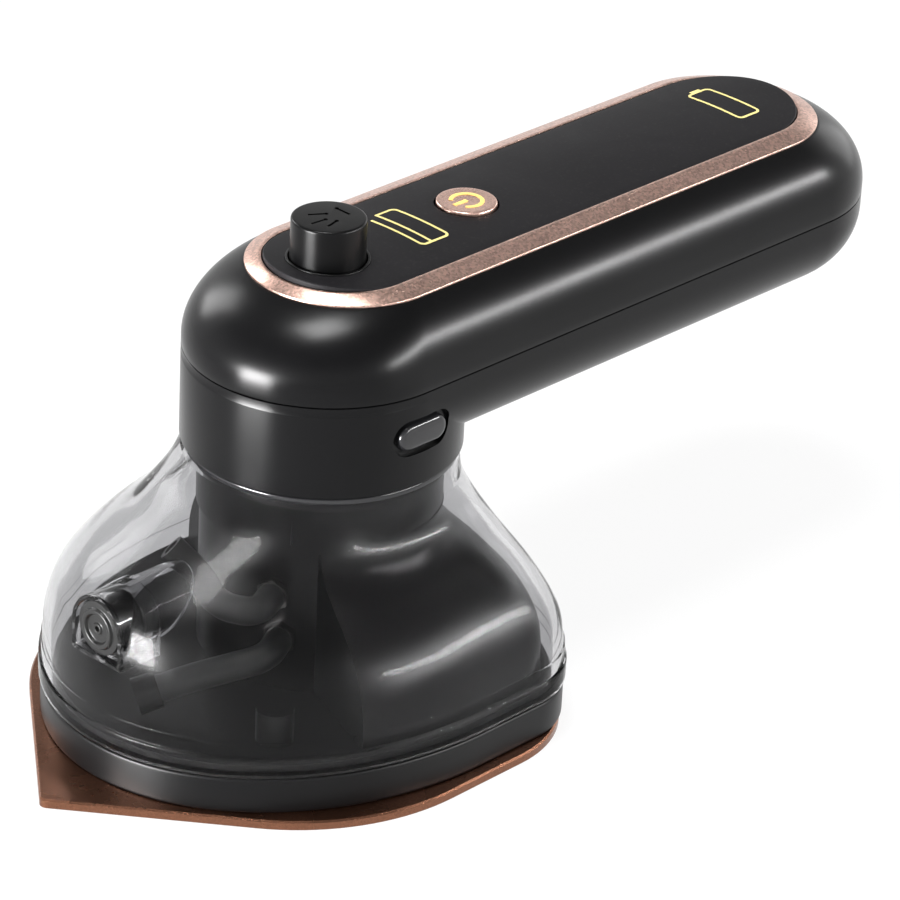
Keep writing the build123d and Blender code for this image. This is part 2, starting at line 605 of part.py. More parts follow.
def bend_radii(points):
    """The largest tangent arc that each corner's shorter run allows."""
    radii = []
    for a, b, c in zip(points, points[1:], points[2:]):
        before, after = Vector(*b) - Vector(*a), Vector(*c) - Vector(*b)
        turn = radians(before.get_angle(after))
        radii.append(0.45 * min(before.length, after.length) / tan(turn / 2))
    return radii


def hose_path(points):
    return FilletPolyline(*points, radius=bend_radii(points))


def suction_path():
    """From the column's lower fitting along the well down to the floor near the front."""
    return hose_path([hose_start(INLET_ANGLE, INLET_Z), hose_start(INLET_ANGLE, INLET_Z, HOSE_LEAD),
                      (-34.5, -5.6, 16.4), (-41.0, -1.5, 14.1)])


def vent_path():
    """From the column's upper fitting in a shallow S to the rear of the filling neck."""
    return hose_path([hose_start(VENT_ANGLE, VENT_Z), hose_start(VENT_ANGLE, VENT_Z, HOSE_LEAD),
                      (-28.0, -5.0, 27.4), (-25.8, 2.2, 29.8), (-28.4, 6.2, 34.0)])


def hose(path):
    start = Plane(origin=path @ 0, z_dir=path % 0)
    return sweep(start * Circle(HOSE_R), path) - sweep(start * Circle(HOSE_BORE_R), path)


def suction_hose():
    return hose(suction_path())


def vent_hose():
    return hose(vent_path())


def suction_weight():
    """Metal weight with a strainer hole, pushed on the end of the suction hose."""
    path = suction_path()
    end = Plane(origin=path @ 1, z_dir=path % 1)
    sleeve = end * Pos(0, 0, -2.5) * extrude(Circle(WEIGHT_R), 4.0)
    sleeve -= end * Pos(0, 0, -3) * extrude(Circle(HOSE_R + SNUG), 3.0)
    return sleeve - end * Pos(0, 0, -1) * extrude(Circle(HOSE_BORE_R), 4.0)


def hose_fittings():
    return Compound([fitting(INLET_ANGLE, INLET_Z, PUMP_R + 2 - 3),
                     fitting(VENT_ANGLE, VENT_Z, CORE_R - CORE_WALL - 1.0)])


def pump_piston():
    z = PISTON_Z
    head = disc(PUMP_BORE_R - RUN, z, z + PISTON_L)
    groove = ring(PUMP_BORE_R + 1, PUMP_BORE_R - 1.1, z + 1.6, z + 3.2)
    return head - groove - disc(ROD_R + SNUG, z + ROD_SEAT, z + PISTON_L + 1)


def piston_seal():
    z = PISTON_Z
    return ring(PUMP_BORE_R - RUN / 2, PUMP_BORE_R - 1.1 + SNUG, z + 1.6 + SNUG, z + 3.2 - SNUG)


def pump_rod():
    return disc(ROD_R, PISTON_Z + ROD_SEAT, KNOB_SKIRT + STEM_DEPTH)


def pump_spring():
    return coil(3.0, 0.4, PUMP_BASE_Z + 2.0, PISTON_Z, 5)


# ---------------------------------------------------------------- swivel

def swivel_ring():
    body = ring(NECK_R + 0.1, CORE_R + FREE, TANK_TOP, TANK_TOP + RING_T)
    outer = body.edges().filter_by(GeomType.CIRCLE).group_by(SortBy.RADIUS)[-1]
    return fillet(outer, 0.3)


def swivel_tower():
    body = disc(CORE_R, TANK_TOP, TANK_TOP + RING_T) + disc(HUB_R, TANK_TOP, HUB_TOP)
    body -= disc(HUB_R - HUB_WALL, TANK_TOP + HUB_SHELF_T, HUB_TOP + 1)
    body -= disc(CABLE_BORE_R, 0, 60)
    for x, y in ring_points(3, 10.6, 60):
        body -= disc(M2_R + SCREW_PLAY, 0, 60, x, y)
    for x, y in ring_points(3, 15.6, 30):
        body -= disc(M2_R + SCREW_PLAY, TANK_TOP + 1, 60, x, y)
    return body


def tower_screws():
    top = TANK_TOP + HUB_SHELF_T
    one = screw(M2_R, M2_HEAD_R, M2_HEAD_T, HUB_SHELF_T + CORE_DECK + 1.4)
    return Compound([Pos(x, y, top) * one for x, y in ring_points(3, 10.6, 60)])


def retainer_ring():
    """Ring screwed on the hub that keeps the turret down; three notches mark 0, 90 and 180 degrees."""
    body = ring(RETAINER_R, DETENT_IN_R, HUB_TOP, HUB_TOP + RETAINER_T)
    for angle in (-90, 0, 90):
        notch = block(0, DETENT_IN_R + DETENT_DEPTH, -DETENT_HALF, DETENT_HALF, 0, 90)
        body -= Rot(0, 0, angle) * notch
    for x, y in ring_points(3, 15.6, 30):
        body -= disc(M2_R + SCREW_PLAY, 0, 90, x, y)
        body -= disc(M2_HEAD_R + SCREW_PLAY, HUB_TOP + RETAINER_T - 0.9, 90, x, y)
    return body


def retainer_screws():
    top = HUB_TOP + RETAINER_T - 0.9
    one = screw(M2_R, M2_HEAD_R, 0.8, 3.6)
    return Compound([Pos(x, y, top) * one for x, y in ring_points(3, 15.6, 30)])


def bearing_washer():
    floor = TURRET_Z + SHELL_WALL
    return ring(RETAINER_R - 0.1, HUB_R + 0.4, floor, floor + WASHER_T)


def terminal_block():
    z = TANK_TOP + HUB_SHELF_T
    body = block(7.8, 12.4, -3.6, 3.6, z, z + 3.2)
    for side in (-1, 1):
        body -= disc(0.9, z + 1, z + 5, 10.1, side * 1.8)
    return body


# ---------------------------------------------------------------- handle shells

def crown_section(angle, wall=0.0):
    """Plan of the upper shell at one angle of its rounding; the ends draw in more than the sides."""
    inset = CROWN_W * (1 - cos(radians(angle)))
    z = CROWN_Z + (CROWN_H - wall) * sin(radians(angle))
    half = HANDLE_HALF - wall - inset
    return stadium(half, HEAD_DRAW * inset, HANDLE_L - FAR_DRAW * inset, z)


def crown(wall=0.0):
    """Upper form: upright from the seam to the spring line, then rounded up to the trim ring."""
    steps = [CROWN_ANGLE * i / CROWN_STEPS for i in range(CROWN_STEPS + 1)]
    dome = loft([crown_section(a, wall) for a in steps])
    skirt = extrude(stadium(HANDLE_HALF - wall, 0, HANDLE_L, SEAM_Z + SEAM_GAP), CROWN_Z - SEAM_Z - SEAM_GAP)
    return dome + skirt


def belly(wall=0.0):
    """Lower form of the bar: upright at the seam, rounded underneath."""
    bottom = BELLY_Z + wall
    body = extrude(stadium(HANDLE_HALF - wall, 0, HANDLE_L, bottom), SEAM_Z - bottom)
    return fillet(body.edges().group_by(Axis.Z)[0], BELLY_R - wall)


def seam_tongue():
    """Lip round the lower shell that stands inside the upper shell's wall and covers the seam."""
    inner = HANDLE_HALF - SHELL_WALL
    root = extrude(stadium(inner + FREE, 0, HANDLE_L, SEAM_Z - TONGUE_ROOT), TONGUE_ROOT)
    lip = extrude(stadium(inner - SNUG - RUN, 0, HANDLE_L, SEAM_Z - TONGUE_ROOT), TONGUE_ROOT + TONGUE_H)
    return root + lip - extrude(stadium(inner - TONGUE_T, 0, HANDLE_L, SEAM_Z - 5), 10)


def release_profile(w, h):
    return SlotOverall(w, h)


def on_side(sketch, y0, y1, z):
    """Carries a sketch (its x = row X, its y = row Z) along Y from y0 to y1."""
    start = Plane(origin=(0, y0, z), x_dir=(1, 0, 0), z_dir=(0, -1, 0))
    return extrude(start * sketch, y0 - y1)


def port_profile(grow=0.0):
    w, h = PORT_W + 2 * grow, PORT_H + 2 * grow
    return RectangleRounded(w, h, h / 2 - 0.01)


def spring_bridge():
    """Rib across the turret that the release spring pushes against."""
    z = RELEASE_Z
    half = (TURRET_R - SHELL_WALL) * 0.9
    return block(-half, half, -9.6, -8.0, z - 1.4, z + 4.0)


def handle_lower_shell():
    body = belly() + disc(TURRET_R, TURRET_Z, SEAM_Z)
    hollow = belly(SHELL_WALL) + block(-5, 40, -1, 1, TURRET_Z + 6, SEAM_Z)
    hollow += disc(TURRET_R - SHELL_WALL, TURRET_Z + SHELL_WALL, SEAM_Z + 1)
    body = body - hollow + seam_tongue()
    body -= disc(HUB_R + RUN, 0, 60)
    body += spring_bridge() - disc(ROD_R + 1.5, 0, 90)
    body -= on_side(release_profile(RECESS_W, RECESS_H), -TURRET_R + RECESS_DEPTH - 0.4, -40, RELEASE_Z)
    body -= on_side(release_profile(RELEASE_W + 2 * RUN, RELEASE_H + 2 * RUN), -18, -40, RELEASE_Z)
    for x, y in CASE_SCREWS:
        post = disc(BOSS_R, BELLY_Z + 1.0, SEAM_Z, x, y) & belly()
        body += post
        body -= disc(M2_R + 0.2 + SCREW_PLAY, 0, 90, x, y)
        body -= disc(M2_HEAD_R + 0.3, 0, BELLY_Z + 2.4, x, y)
    for side in (-1, 1):
        y = side * (CHARGE_HALF - 1.5)
        rib = block(CHARGE_X0 + 1, CHARGE_X0 + 15, y - 0.8, y + 0.8, BELLY_Z + 1, charge_z())
        body += rib & belly()
    return body - along_x(port_profile(0.2), HANDLE_L + 15, HANDLE_L + 40, PORT_Z)


def charge_z():
    """Underside of the small charging board, which carries the socket."""
    return PORT_Z - PORT_H / 2 - CHARGE_T


def handle_upper_shell():
    body = crown()
    hollow = crown(SHELL_WALL)
    hollow &= block(-60, 200, -60, 60, 0, ROOF_Z - ROOF_T)
    hollow += extrude(stadium(HANDLE_HALF - SHELL_WALL, 0, HANDLE_L, SEAM_Z - 1), 3)
    body -= hollow
    for x, y in CASE_SCREWS:
        post = disc(BOSS_R, SEAM_Z + SEAM_GAP, ROOF_Z - 1, x, y) & crown()
        body = body + post - disc(M2_R + 0.2 + SNUG, 0, SEAM_Z + 8, x, y)
    body -= disc(KNOB_R + FREE, 0, 120)
    body -= disc(POWER_R + POWER_GAP, 0, 120, POWER_X)
    for x0, x1, half in light_windows():
        body -= block(x0 - 0.2, x1 + 0.2, -half - 0.2, half + 0.2, ROOF_Z - 6, ROOF_Z + 1)
    return body


def light_windows():
    return [(HEAT_ICON_X0 + 0.6, HEAT_ICON_X1 - 0.6, HEAT_ICON_HALF - 0.8),
            (CELL_ICON_X0 + 0.6, CELL_ICON_X1 - 0.6, CELL_ICON_HALF - 0.8)]


def trim_outer(z):
    inset = CROWN_W * (1 - cos(radians(CROWN_ANGLE)))
    return stadium(HANDLE_HALF - inset, HEAD_DRAW * inset, HANDLE_L - FAR_DRAW * inset, z)


def trim_inner(z, grow=0.0):
    return stadium(TRIM_IN_HALF + grow, TRIM_IN_HEAD, TRIM_IN_FAR, z)


def trim_ring():
    """Bevelled frame: thin outer edge, sloping up to its inner edge."""
    body = extrude(trim_outer(ROOF_Z), TRIM_T)
    body += loft([trim_outer(ROOF_Z + TRIM_T), trim_inner(ROOF_Z + TRIM_H, 0.5)])
    return body - extrude(trim_inner(ROOF_Z - 1), 10)


def under_arch(z):
    """Everything below the panel's arch, with its middle line at height z."""
    return rod_x(ARCH_R, -HANDLE_HALF, HANDLE_L + HANDLE_HALF, 0, z - ARCH_R)


def top_panel():
    body = extrude(trim_inner(ROOF_Z, -PANEL_GAP), PANEL_H + PANEL_ARCH) & under_arch(PANEL_Z)
    body = fillet(body.faces().sort_by(Axis.Z)[-1].edges(), PANEL_EDGE)
    body -= disc(BEZEL_R + SNUG, 0, 120)
    body -= disc(POWER_R + POWER_GAP, 0, 120, POWER_X)
    return body - heat_icon(0.01) - cell_icon(0.01)


# ---------------------------------------------------------------- icons and controls

def inlay(sketch, depth):
    """Thin layer that follows the panel's arch; the pocket for it is the same, deeper by depth."""
    low = PANEL_Z - PANEL_ARCH - ICON_T - depth
    layer = Pos(0, 0, low) * extrude(sketch, PANEL_Z - low) & under_arch(PANEL_Z)
    return layer - under_arch(PANEL_Z - ICON_T - depth)


def icon_frame(x0, x1, half):
    outer = RectangleRounded(x1 - x0, 2 * half, ICON_R)
    inner = RectangleRounded(x1 - x0 - 2 * ICON_LINE, 2 * (half - ICON_LINE), ICON_R - ICON_LINE)
    return Pos((x0 + x1) / 2, 0) * (outer - inner)


def heat_icon(depth=0.0):
    """Frame with a line that parts off a strip; the strip's +Y end is open."""
    frame = icon_frame(HEAT_ICON_X0, HEAT_ICON_X1, HEAT_ICON_HALF)
    x = HEAT_ICON_X0 + HEAT_STRIP
    frame -= Pos(x - HEAT_STRIP, HEAT_ICON_HALF) * Rectangle(2 * HEAT_STRIP, 2 * ICON_R)
    line = Pos(x, 0) * Rectangle(ICON_LINE, 2 * HEAT_ICON_HALF - 0.1)
    return inlay(frame + line, depth)


def cell_icon(depth=0.0):
    """Battery outline with its terminal on the +Y side."""
    frame = icon_frame(CELL_ICON_X0, CELL_ICON_X1, CELL_ICON_HALF)
    nub = Pos((CELL_ICON_X0 + CELL_ICON_X1) / 2, CELL_ICON_HALF + 0.3) * Rectangle(2.4, 0.8)
    return inlay(frame + nub, depth)


def button_bezel():
    return ring(BEZEL_R, BEZEL_R - BEZEL_WALL, ROOF_Z, PANEL_Z + 1) & under_arch(PANEL_Z + BEZEL_PROUD)


def steam_mark():
    """Three fanned jets, each with a pit at its start, in front of a short bar."""
    z = KNOB_TOP - MARK_DEPTH
    marks = [stroke(line, MARK_W, z, 2) for line in (*JETS, NOZZLE)]
    return marks + [disc(0.8 * MARK_W, z, KNOB_TOP + 1, x, y) for (x, y), _ in (*JETS, NOZZLE)]


def steam_button():
    body = disc(KNOB_R, KNOB_SKIRT, KNOB_TOP)
    body = fillet(body.edges().group_by(Axis.Z)[-1], 0.8)
    face = KNOB_TOP - KNOB_FACE_T
    body -= disc(KNOB_R - KNOB_WALL, KNOB_SKIRT - 1, face)
    body += ring(ROD_R + 2.0, ROD_R + SNUG, KNOB_SKIRT, face)
    body += disc(ROD_R + 0.1, KNOB_SKIRT + STEM_DEPTH, face + 0.5)
    return body - steam_mark()


def power_mark(depth=0.0):
    z = power_top() - ICON_T
    half = POWER_LINE / 2
    arc_line = CenterArc((POWER_X, 0), POWER_MARK_R, -140, 280)
    body = Pos(0, 0, z - depth) * extrude(trace(arc_line, POWER_LINE), ICON_T + depth)
    bar = block(POWER_X - POWER_MARK_R - half, POWER_X, -half, half, z - depth, z + ICON_T)
    return body + bar


def power_top():
    return PANEL_Z + POWER_RISE


def power_button():
    """Round cap with a flange under the roof and a stem that reaches down to the switch."""
    under = ROOF_Z - ROOF_T - 0.1
    body = disc(POWER_R, under, power_top(), POWER_X)
    body = fillet(body.edges().group_by(Axis.Z)[-1], POWER_EDGE_R)
    body += disc(POWER_FLANGE_R, under - POWER_FLANGE_T, under, POWER_X)
    stem_end = BOARD_Z + BOARD_T + SWITCH_H + POWER_TRAVEL + 0.15
    body += disc(1.6, stem_end, under, POWER_X)
    return body - power_mark()


def release_button():
    """Oblong cap that slides in the turret's wall."""
    inner = -TURRET_R + SHELL_WALL + 1.6
    body = on_side(release_profile(RELEASE_W, RELEASE_H), inner, -TURRET_R - 0.1, RELEASE_Z)
    return fillet(body.edges().group_by(Axis.Y)[0], 0.7)


def latch_slider():
    """Plate behind the release button with a tooth for the notches of the retainer ring."""
    tab_y = -TURRET_R + SHELL_WALL + 1.6
    low = HUB_TOP + RETAINER_T + FREE
    body = block(-5, 5, tab_y, tab_y + 1.4, low, RELEASE_Z + 2.0)
    tooth_y = -DETENT_IN_R + FREE
    foot_y = tooth_y + RELEASE_TRAVEL
    body += block(-5, 5, tab_y, foot_y + FREE, low, low + 1.2)
    return body + block(-3, 3, tooth_y, foot_y, HUB_TOP + FREE, low + 1.2)


def release_spring():
    tab_y = -TURRET_R + SHELL_WALL + 3.0
    spring = coil(1.5, 0.3, 0, -9.6 - tab_y, 5)
    return Pos(0, tab_y, RELEASE_Z) * Rot(-90, 0, 0) * spring


# ---------------------------------------------------------------- electrics

def cells():
    can = rod_x(CELL_R, 0, CELL_L) - rod_x(CELL_R - 0.3, 0.3, CELL_L - 0.3)
    return [Pos(CELL_X0, side * CELL_Y, CELL_Z) * can for side in (-1, 1)]


def battery_cans():
    return Compound(cells())


def battery_cores():
    core = rod_x(CELL_R - 0.3, 0.3, CELL_L - 0.3)
    return Compound([Pos(CELL_X0, side * CELL_Y, CELL_Z) * core for side in (-1, 1)])


def cell_tabs():
    tabs = []
    for x in (CELL_X0 - TAB_T, CELL_X0 + CELL_L):
        reach = CELL_Y + TAB_REACH
        tabs.append(block(x, x + TAB_T, -reach, reach, CELL_Z - TAB_HALF, CELL_Z + TAB_HALF))
    return Compound(tabs)


def cell_holder():
    x0 = CELL_X0 - TAB_T - HOLDER_T
    x1 = CELL_X0 + CELL_L + TAB_T
    outer = CELL_Y + CELL_R
    body = block(x0, x0 + HOLDER_T, -outer, outer, BELLY_Z + SHELL_WALL + 1, BOARD_Z)
    body += block(x1, x1 + HOLDER_T, -outer, outer, BELLY_Z + SHELL_WALL + 1, BOARD_Z)
    for side in (-1, 1):
        ends = sorted((side * (outer - 2.4), side * outer))
        body += block(x0, x1 + HOLDER_T, ends[0], ends[1], CELL_Z + CELL_R - 1.2, BOARD_Z)
    clear = HANDLE_HALF - SHELL_WALL - TONGUE_T - FREE
    room = block(0, HANDLE_L, -clear, clear, SEAM_Z - TONGUE_ROOT - 1, BOARD_Z)
    return body & (belly(SHELL_WALL + 0.2) + room)


def main_board():
    z = BOARD_Z
    return block(BOARD_X0, BOARD_X1, -BOARD_HALF, BOARD_HALF, z, z + BOARD_T)


def board_parts():
    z = BOARD_Z + BOARD_T
    span = BOARD_X1 - BOARD_X0
    parts = []
    for place, y, w, d, h in CHIPS:
        x = BOARD_X0 + place * span
        parts.append(block(x - w / 2, x + w / 2, y - d / 2, y + d / 2, z, z + h))
    return Compound(parts)


def tact_switch():
    z = BOARD_Z + BOARD_T
    half = SWITCH_SIDE / 2
    body = block(POWER_X - half, POWER_X + half, -half, half, z, z + SWITCH_H - 0.4)
    return body + disc(1.7, z, z + SWITCH_H, POWER_X)


def light_guides():
    guides = []
    for (x0, x1, half) in light_windows():
        guides.append(block(x0, x1, -half, half, BOARD_Z + BOARD_T + 1.0, ROOF_Z))
    return Compound(guides)


def charge_board():
    z = charge_z()
    return block(CHARGE_X0, CHARGE_X1, -CHARGE_HALF, CHARGE_HALF, z, z + CHARGE_T)


def charge_socket():
    end = HANDLE_L + HANDLE_HALF - 0.4
    body = along_x(port_profile(), end - PORT_L, end, PORT_Z)
    body -= along_x(port_profile(-PORT_WALL), end - PORT_L + 0.6, end + 1, PORT_Z)
    return body + along_x(Rectangle(5.6, 0.7), end - PORT_L + 0.5, end - 1.2, PORT_Z)


def case_screws():
    top = BELLY_Z + 2.4
    length = SEAM_Z + 7.0 - top
    one = Rot(180, 0, 0) * screw(M2_R + 0.2, M2_HEAD_R + 0.1, M2_HEAD_T, length)
    return Compound([Pos(x, y, top) * one for x, y in CASE_SCREWS])


# ---------------------------------------------------------------- export

PARTS = {
    "sole_plate": sole_plate, "heater_block": heater_block, "heating_element": heating_element,
    "chamber_gasket": chamber_gasket, "chamber_cover": chamber_cover, "thermostat": thermostat,
    "thermostat_clip": thermostat_clip, "thermal_fuse": thermal_fuse, "heat_shield": heat_shield,
    "base_ring": base_ring, "base_screws": base_screws, "tank_shell": tank_shell,
    "fill_neck": fill_neck, "fill_plug": fill_plug, "tank_seal": tank_seal, "neck_seal": neck_seal,
    "core_housing": core_housing, "pump_cylinder": pump_cylinder, "valve_block": valve_block,
    "valve_balls": valve_balls, "feed_tube": feed_tube,
    "suction_hose": suction_hose, "suction_weight": suction_weight, "vent_hose": vent_hose,
    "hose_fittings": hose_fittings,
    "pump_piston": pump_piston, "piston_seal": piston_seal, "pump_rod": pump_rod,
    "pump_spring": pump_spring, "swivel_ring": swivel_ring, "swivel_tower": swivel_tower,
    "tower_screws": tower_screws, "retainer_ring": retainer_ring, "retainer_screws": retainer_screws,
    "bearing_washer": bearing_washer, "terminal_block": terminal_block,
    "handle_lower_shell": handle_lower_shell, "handle_upper_shell": handle_upper_shell,
    "trim_ring": trim_ring, "top_panel": top_panel, "heat_icon": heat_icon, "cell_icon": cell_icon,
    "button_bezel": button_bezel, "steam_button": steam_button, "power_button": power_button,
    "power_mark": power_mark, "release_button": release_button, "latch_slider": latch_slider,
    "release_spring": release_spring, "battery_cans": battery_cans, "battery_cores": battery_cores,
    "cell_tabs": cell_tabs, "cell_holder": cell_holder, "main_board": main_board,
    "board_parts": board_parts, "tact_switch": tact_switch, "light_guides": light_guides,
    "charge_board": charge_board, "charge_socket": charge_socket, "case_screws": case_screws,
}


def main():
    os.makedirs("parts", exist_ok=True)
    for name, make in PARTS.items():
        export_step(make(), f"parts/{name}.step")


main()
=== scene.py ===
import math

import bmesh
import bpy
import numpy as np
from mathutils import Matrix, Vector


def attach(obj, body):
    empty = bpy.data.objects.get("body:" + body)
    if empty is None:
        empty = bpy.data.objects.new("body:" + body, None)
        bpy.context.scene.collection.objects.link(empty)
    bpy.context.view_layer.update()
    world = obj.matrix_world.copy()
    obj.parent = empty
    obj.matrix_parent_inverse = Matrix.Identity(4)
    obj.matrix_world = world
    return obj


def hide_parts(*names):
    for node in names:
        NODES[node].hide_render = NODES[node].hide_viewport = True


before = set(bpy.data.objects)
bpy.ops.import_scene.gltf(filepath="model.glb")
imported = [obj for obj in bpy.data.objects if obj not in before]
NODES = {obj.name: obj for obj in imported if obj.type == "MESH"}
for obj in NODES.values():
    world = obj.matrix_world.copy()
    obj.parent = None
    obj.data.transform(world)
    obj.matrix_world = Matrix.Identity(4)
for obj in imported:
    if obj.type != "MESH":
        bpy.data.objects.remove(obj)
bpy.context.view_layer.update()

bl_info = {
    "name": "Swivel Handle Garment Steamer",
    "version": (1, 0, 0),
    "blender": (4, 5, 0),
    "location": "View3D > Sidebar > Steamer",
    "description": "Builds and finishes a cordless mini steam iron whose handle turns on a clear water tank",
    "category": "Add Mesh",
}

MM = 0.001


# ---------------------------------------------------------------- settings

def colour_setting(name, description, default):
    """Setting for a colour, its channels from 0 to 1."""
    return bpy.props.FloatVectorProperty(name=name, description=description, subtype="COLOR", size=3,
                                         min=0, max=1, default=default)


class SteamerColours(bpy.types.PropertyGroup):
    """Colours of the outer finishes."""
    shell: colour_setting("Shell", "Satin moulded shells and base ring", (0.002, 0.002, 0.0022))
    panel: colour_setting("Top panel", "Soft-touch panel on the handle", (0.008, 0.0075, 0.0085))
    rose: colour_setting("Rose metal", "Trim ring and power button", (0.62, 0.41, 0.34))
    copper: colour_setting("Sole", "Copper-coloured sole plate", (0.22, 0.10, 0.06))
    symbol: colour_setting("Symbols", "Printed symbols on the panel", (0.85, 0.72, 0.26))
    smoke: colour_setting("Tank", "Tint of the clear tank wall", (0.68, 0.68, 0.69))


class SteamerStudio(bpy.types.PropertyGroup):
    """Camera and lamps."""
    place: bpy.props.FloatVectorProperty(
        name="Camera place", description="Where the camera stands", subtype="TRANSLATION",
        unit="LENGTH", size=3, default=(-0.5015, -0.5001, 0.4208))
    heading: bpy.props.FloatProperty(
        name="Heading", description="Compass angle the camera looks along, from +X", subtype="ANGLE",
        unit="ROTATION", default=math.radians(43.15))
    dip: bpy.props.FloatProperty(
        name="Dip", description="How far the camera looks down", subtype="ANGLE",
        unit="ROTATION", default=math.radians(27.87))
    roll: bpy.props.FloatProperty(
        name="Roll", description="Tilt of the camera about its own line of sight", subtype="ANGLE",
        unit="ROTATION", default=math.radians(2.89))
    lens: bpy.props.FloatProperty(
        name="Lens", description="Focal length on a 36 mm sensor, in millimetres", min=20, max=400,
        default=189.1)
    soft_level: bpy.props.FloatProperty(
        name="Room light", description="Strength of the even light from all round", min=0, max=2,
        default=0.38)
    lamp_level: bpy.props.FloatProperty(
        name="Lamp level", description="Multiplies every lamp", min=0, max=5, default=1.0)


# ---------------------------------------------------------------- node helpers

def set_inputs(node, **values):
    """Sets input sockets by name; an underscore stands for a space."""
    for key, value in values.items():
        node.inputs[key.replace("_", " ")].default_value = value


def add_node(tree, kind, **values):
    """A shader node of this kind. Each key sets the node's attribute of that name, or else its input."""
    node = tree.nodes.new("ShaderNode" + kind)
    for key, value in values.items():
        if hasattr(node, key):
            setattr(node, key, value)
        else:
            set_inputs(node, **{key: value})
    return node


def math_node(tree, operation, *numbers, clamp=False):
    """Maths node. The numbers go to its inputs in order; None leaves an input for a link."""
    node = add_node(tree, "Math", operation=operation, use_clamp=clamp)
    for socket, number in zip(node.inputs, numbers):
        if number is not None:
            socket.default_value = number
    return node


def join(source, output, target, socket):
    """Links an output of one node to an input of another."""
    source.id_data.links.new(source.outputs[output], target.inputs[socket])


def new_group(name, inputs, outputs):
    """Empty shader node group with number inputs (name, default) and named outputs, all numbers but
    the Normal."""
    group = bpy.data.node_groups.new(name, "ShaderNodeTree")
    for label, default in inputs:
        socket = group.interface.new_socket(label, in_out="INPUT", socket_type="NodeSocketFloat")
        socket.default_value = default
    for label in outputs:
        kind = "NodeSocketVector" if label == "Normal" else "NodeSocketFloat"
        group.interface.new_socket(label, in_out="OUTPUT", socket_type=kind)
    return group, group.nodes.new("NodeGroupInput"), group.nodes.new("NodeGroupOutput")


def moulded_grain_group():
    """Spark-eroded mould texture: two sizes of noise give a height and a fine tone."""
    g, start, end = new_group("Moulded grain", [("Scale", 4000), ("Depth", 0.2)],
                              ["Height", "Tone", "Normal"])
    place = add_node(g, "TexCoord")
    fine = add_node(g, "TexNoise", Detail=2.0, Roughness=0.6)
    broad = add_node(g, "TexNoise", Scale=55.0, Detail=3.0)
    bump = add_node(g, "Bump", Distance=0.00004)
    join(place, "Object", fine, "Vector")
    join(place, "Object", broad, "Vector")
    join(start, "Scale", fine, "Scale")
    join(start, "Depth", bump, "Strength")
    join(fine, "Fac", bump, "Height")
    join(fine, "Fac", end, "Height")
    join(broad, "Fac", end, "Tone")
    join(bump, "Normal", end, "Normal")
    return g


def edge_wear_group():
    """Mask that is 1 on sharp convex edges, broken up by noise: 1 minus the dot product of the
    rounded and the true normal."""
    g, start, end = new_group("Edge wear", [("Radius", 0.0004), ("Amount", 1.0)],
                              ["Mask"])
    round_edge = add_node(g, "Bevel", samples=4)
    face = add_node(g, "NewGeometry")
    dot = add_node(g, "VectorMath", operation="DOT_PRODUCT")
    less = math_node(g, "SUBTRACT", 1.0)
    place = add_node(g, "TexCoord")
    noise = add_node(g, "TexNoise", Scale=900.0, Detail=4.0)
    times = math_node(g, "MULTIPLY")
    gain = math_node(g, "MULTIPLY", clamp=True)
    join(start, "Radius", round_edge, "Radius")
    join(round_edge, "Normal", dot, 0)
    join(face, "Normal", dot, 1)
    join(dot, "Value", less, 1)
    join(place, "Object", noise, "Vector")
    join(less, "Value", times, 0)
    join(noise, "Fac", times, 1)
    join(times, "Value", gain, 0)
    join(start, "Amount", gain, 1)
    join(gain, "Value", end, "Mask")
    return g


def handling_group():
    """Dust on upward faces and faint smears from hands: a mask and a roughness offset."""
    g, start, end = new_group("Handling marks", [("Dust", 0.1), ("Smear", 0.1)],
                              ["Dust mask", "Roughness offset"])
    place = add_node(g, "TexCoord")
    specks = add_node(g, "TexNoise", Scale=1500.0, Detail=2.0)
    sparse = add_node(g, "MapRange", From_Min=0.56, From_Max=0.78)
    face = add_node(g, "NewGeometry")
    parts = add_node(g, "SeparateXYZ")
    upward = math_node(g, "MULTIPLY", clamp=True)
    dust = math_node(g, "MULTIPLY")
    smears = add_node(g, "TexNoise", Scale=70.0, Detail=5.0, Distortion=0.8)
    centred = math_node(g, "SUBTRACT", None, 0.5)
    offset = math_node(g, "MULTIPLY")
    join(place, "Object", specks, "Vector")
    join(place, "Object", smears, "Vector")
    join(specks, "Fac", sparse, "Value")
    join(face, "Normal", parts, "Vector")
    join(parts, "Z", upward, 0)
    join(sparse, "Result", upward, 1)
    join(upward, "Value", dust, 0)
    join(start, "Dust", dust, 1)
    join(dust, "Value", end, "Dust mask")
    join(smears, "Fac", centred, 0)
    join(centred, "Value", offset, 0)
    join(start, "Smear", offset, 1)
    join(offset, "Value", end, "Roughness offset")
    return g


def metal_flake_group():
    """Metallic lacquer: every cell of a fine pattern gets its own tone and its own small tilt."""
    g, start, end = new_group("Metal flake", [("Scale", 3000), ("Contrast", 0.5), ("Tilt", 0.3)],
                              ["Tone", "Normal"])
    place = add_node(g, "TexCoord")
    cells = add_node(g, "TexVoronoi", feature="F1")
    split = add_node(g, "SeparateColor")
    centred = math_node(g, "SUBTRACT", None, 0.5)
    tone = math_node(g, "MULTIPLY_ADD", None, None, 1.0)
    bump = add_node(g, "Bump", Distance=0.00005)
    join(place, "Object", cells, "Vector")
    join(start, "Scale", cells, "Scale")
    join(cells, "Color", split, "Color")
    join(split, "Red", centred, 0)
    join(centred, "Value", tone, 0)
    join(start, "Contrast", tone, 1)
    join(tone, "Value", end, "Tone")
    join(split, "Green", bump, "Height")
    join(start, "Tilt", bump, "Strength")
    join(bump, "Normal", end, "Normal")
    return g


GROUPS = {}


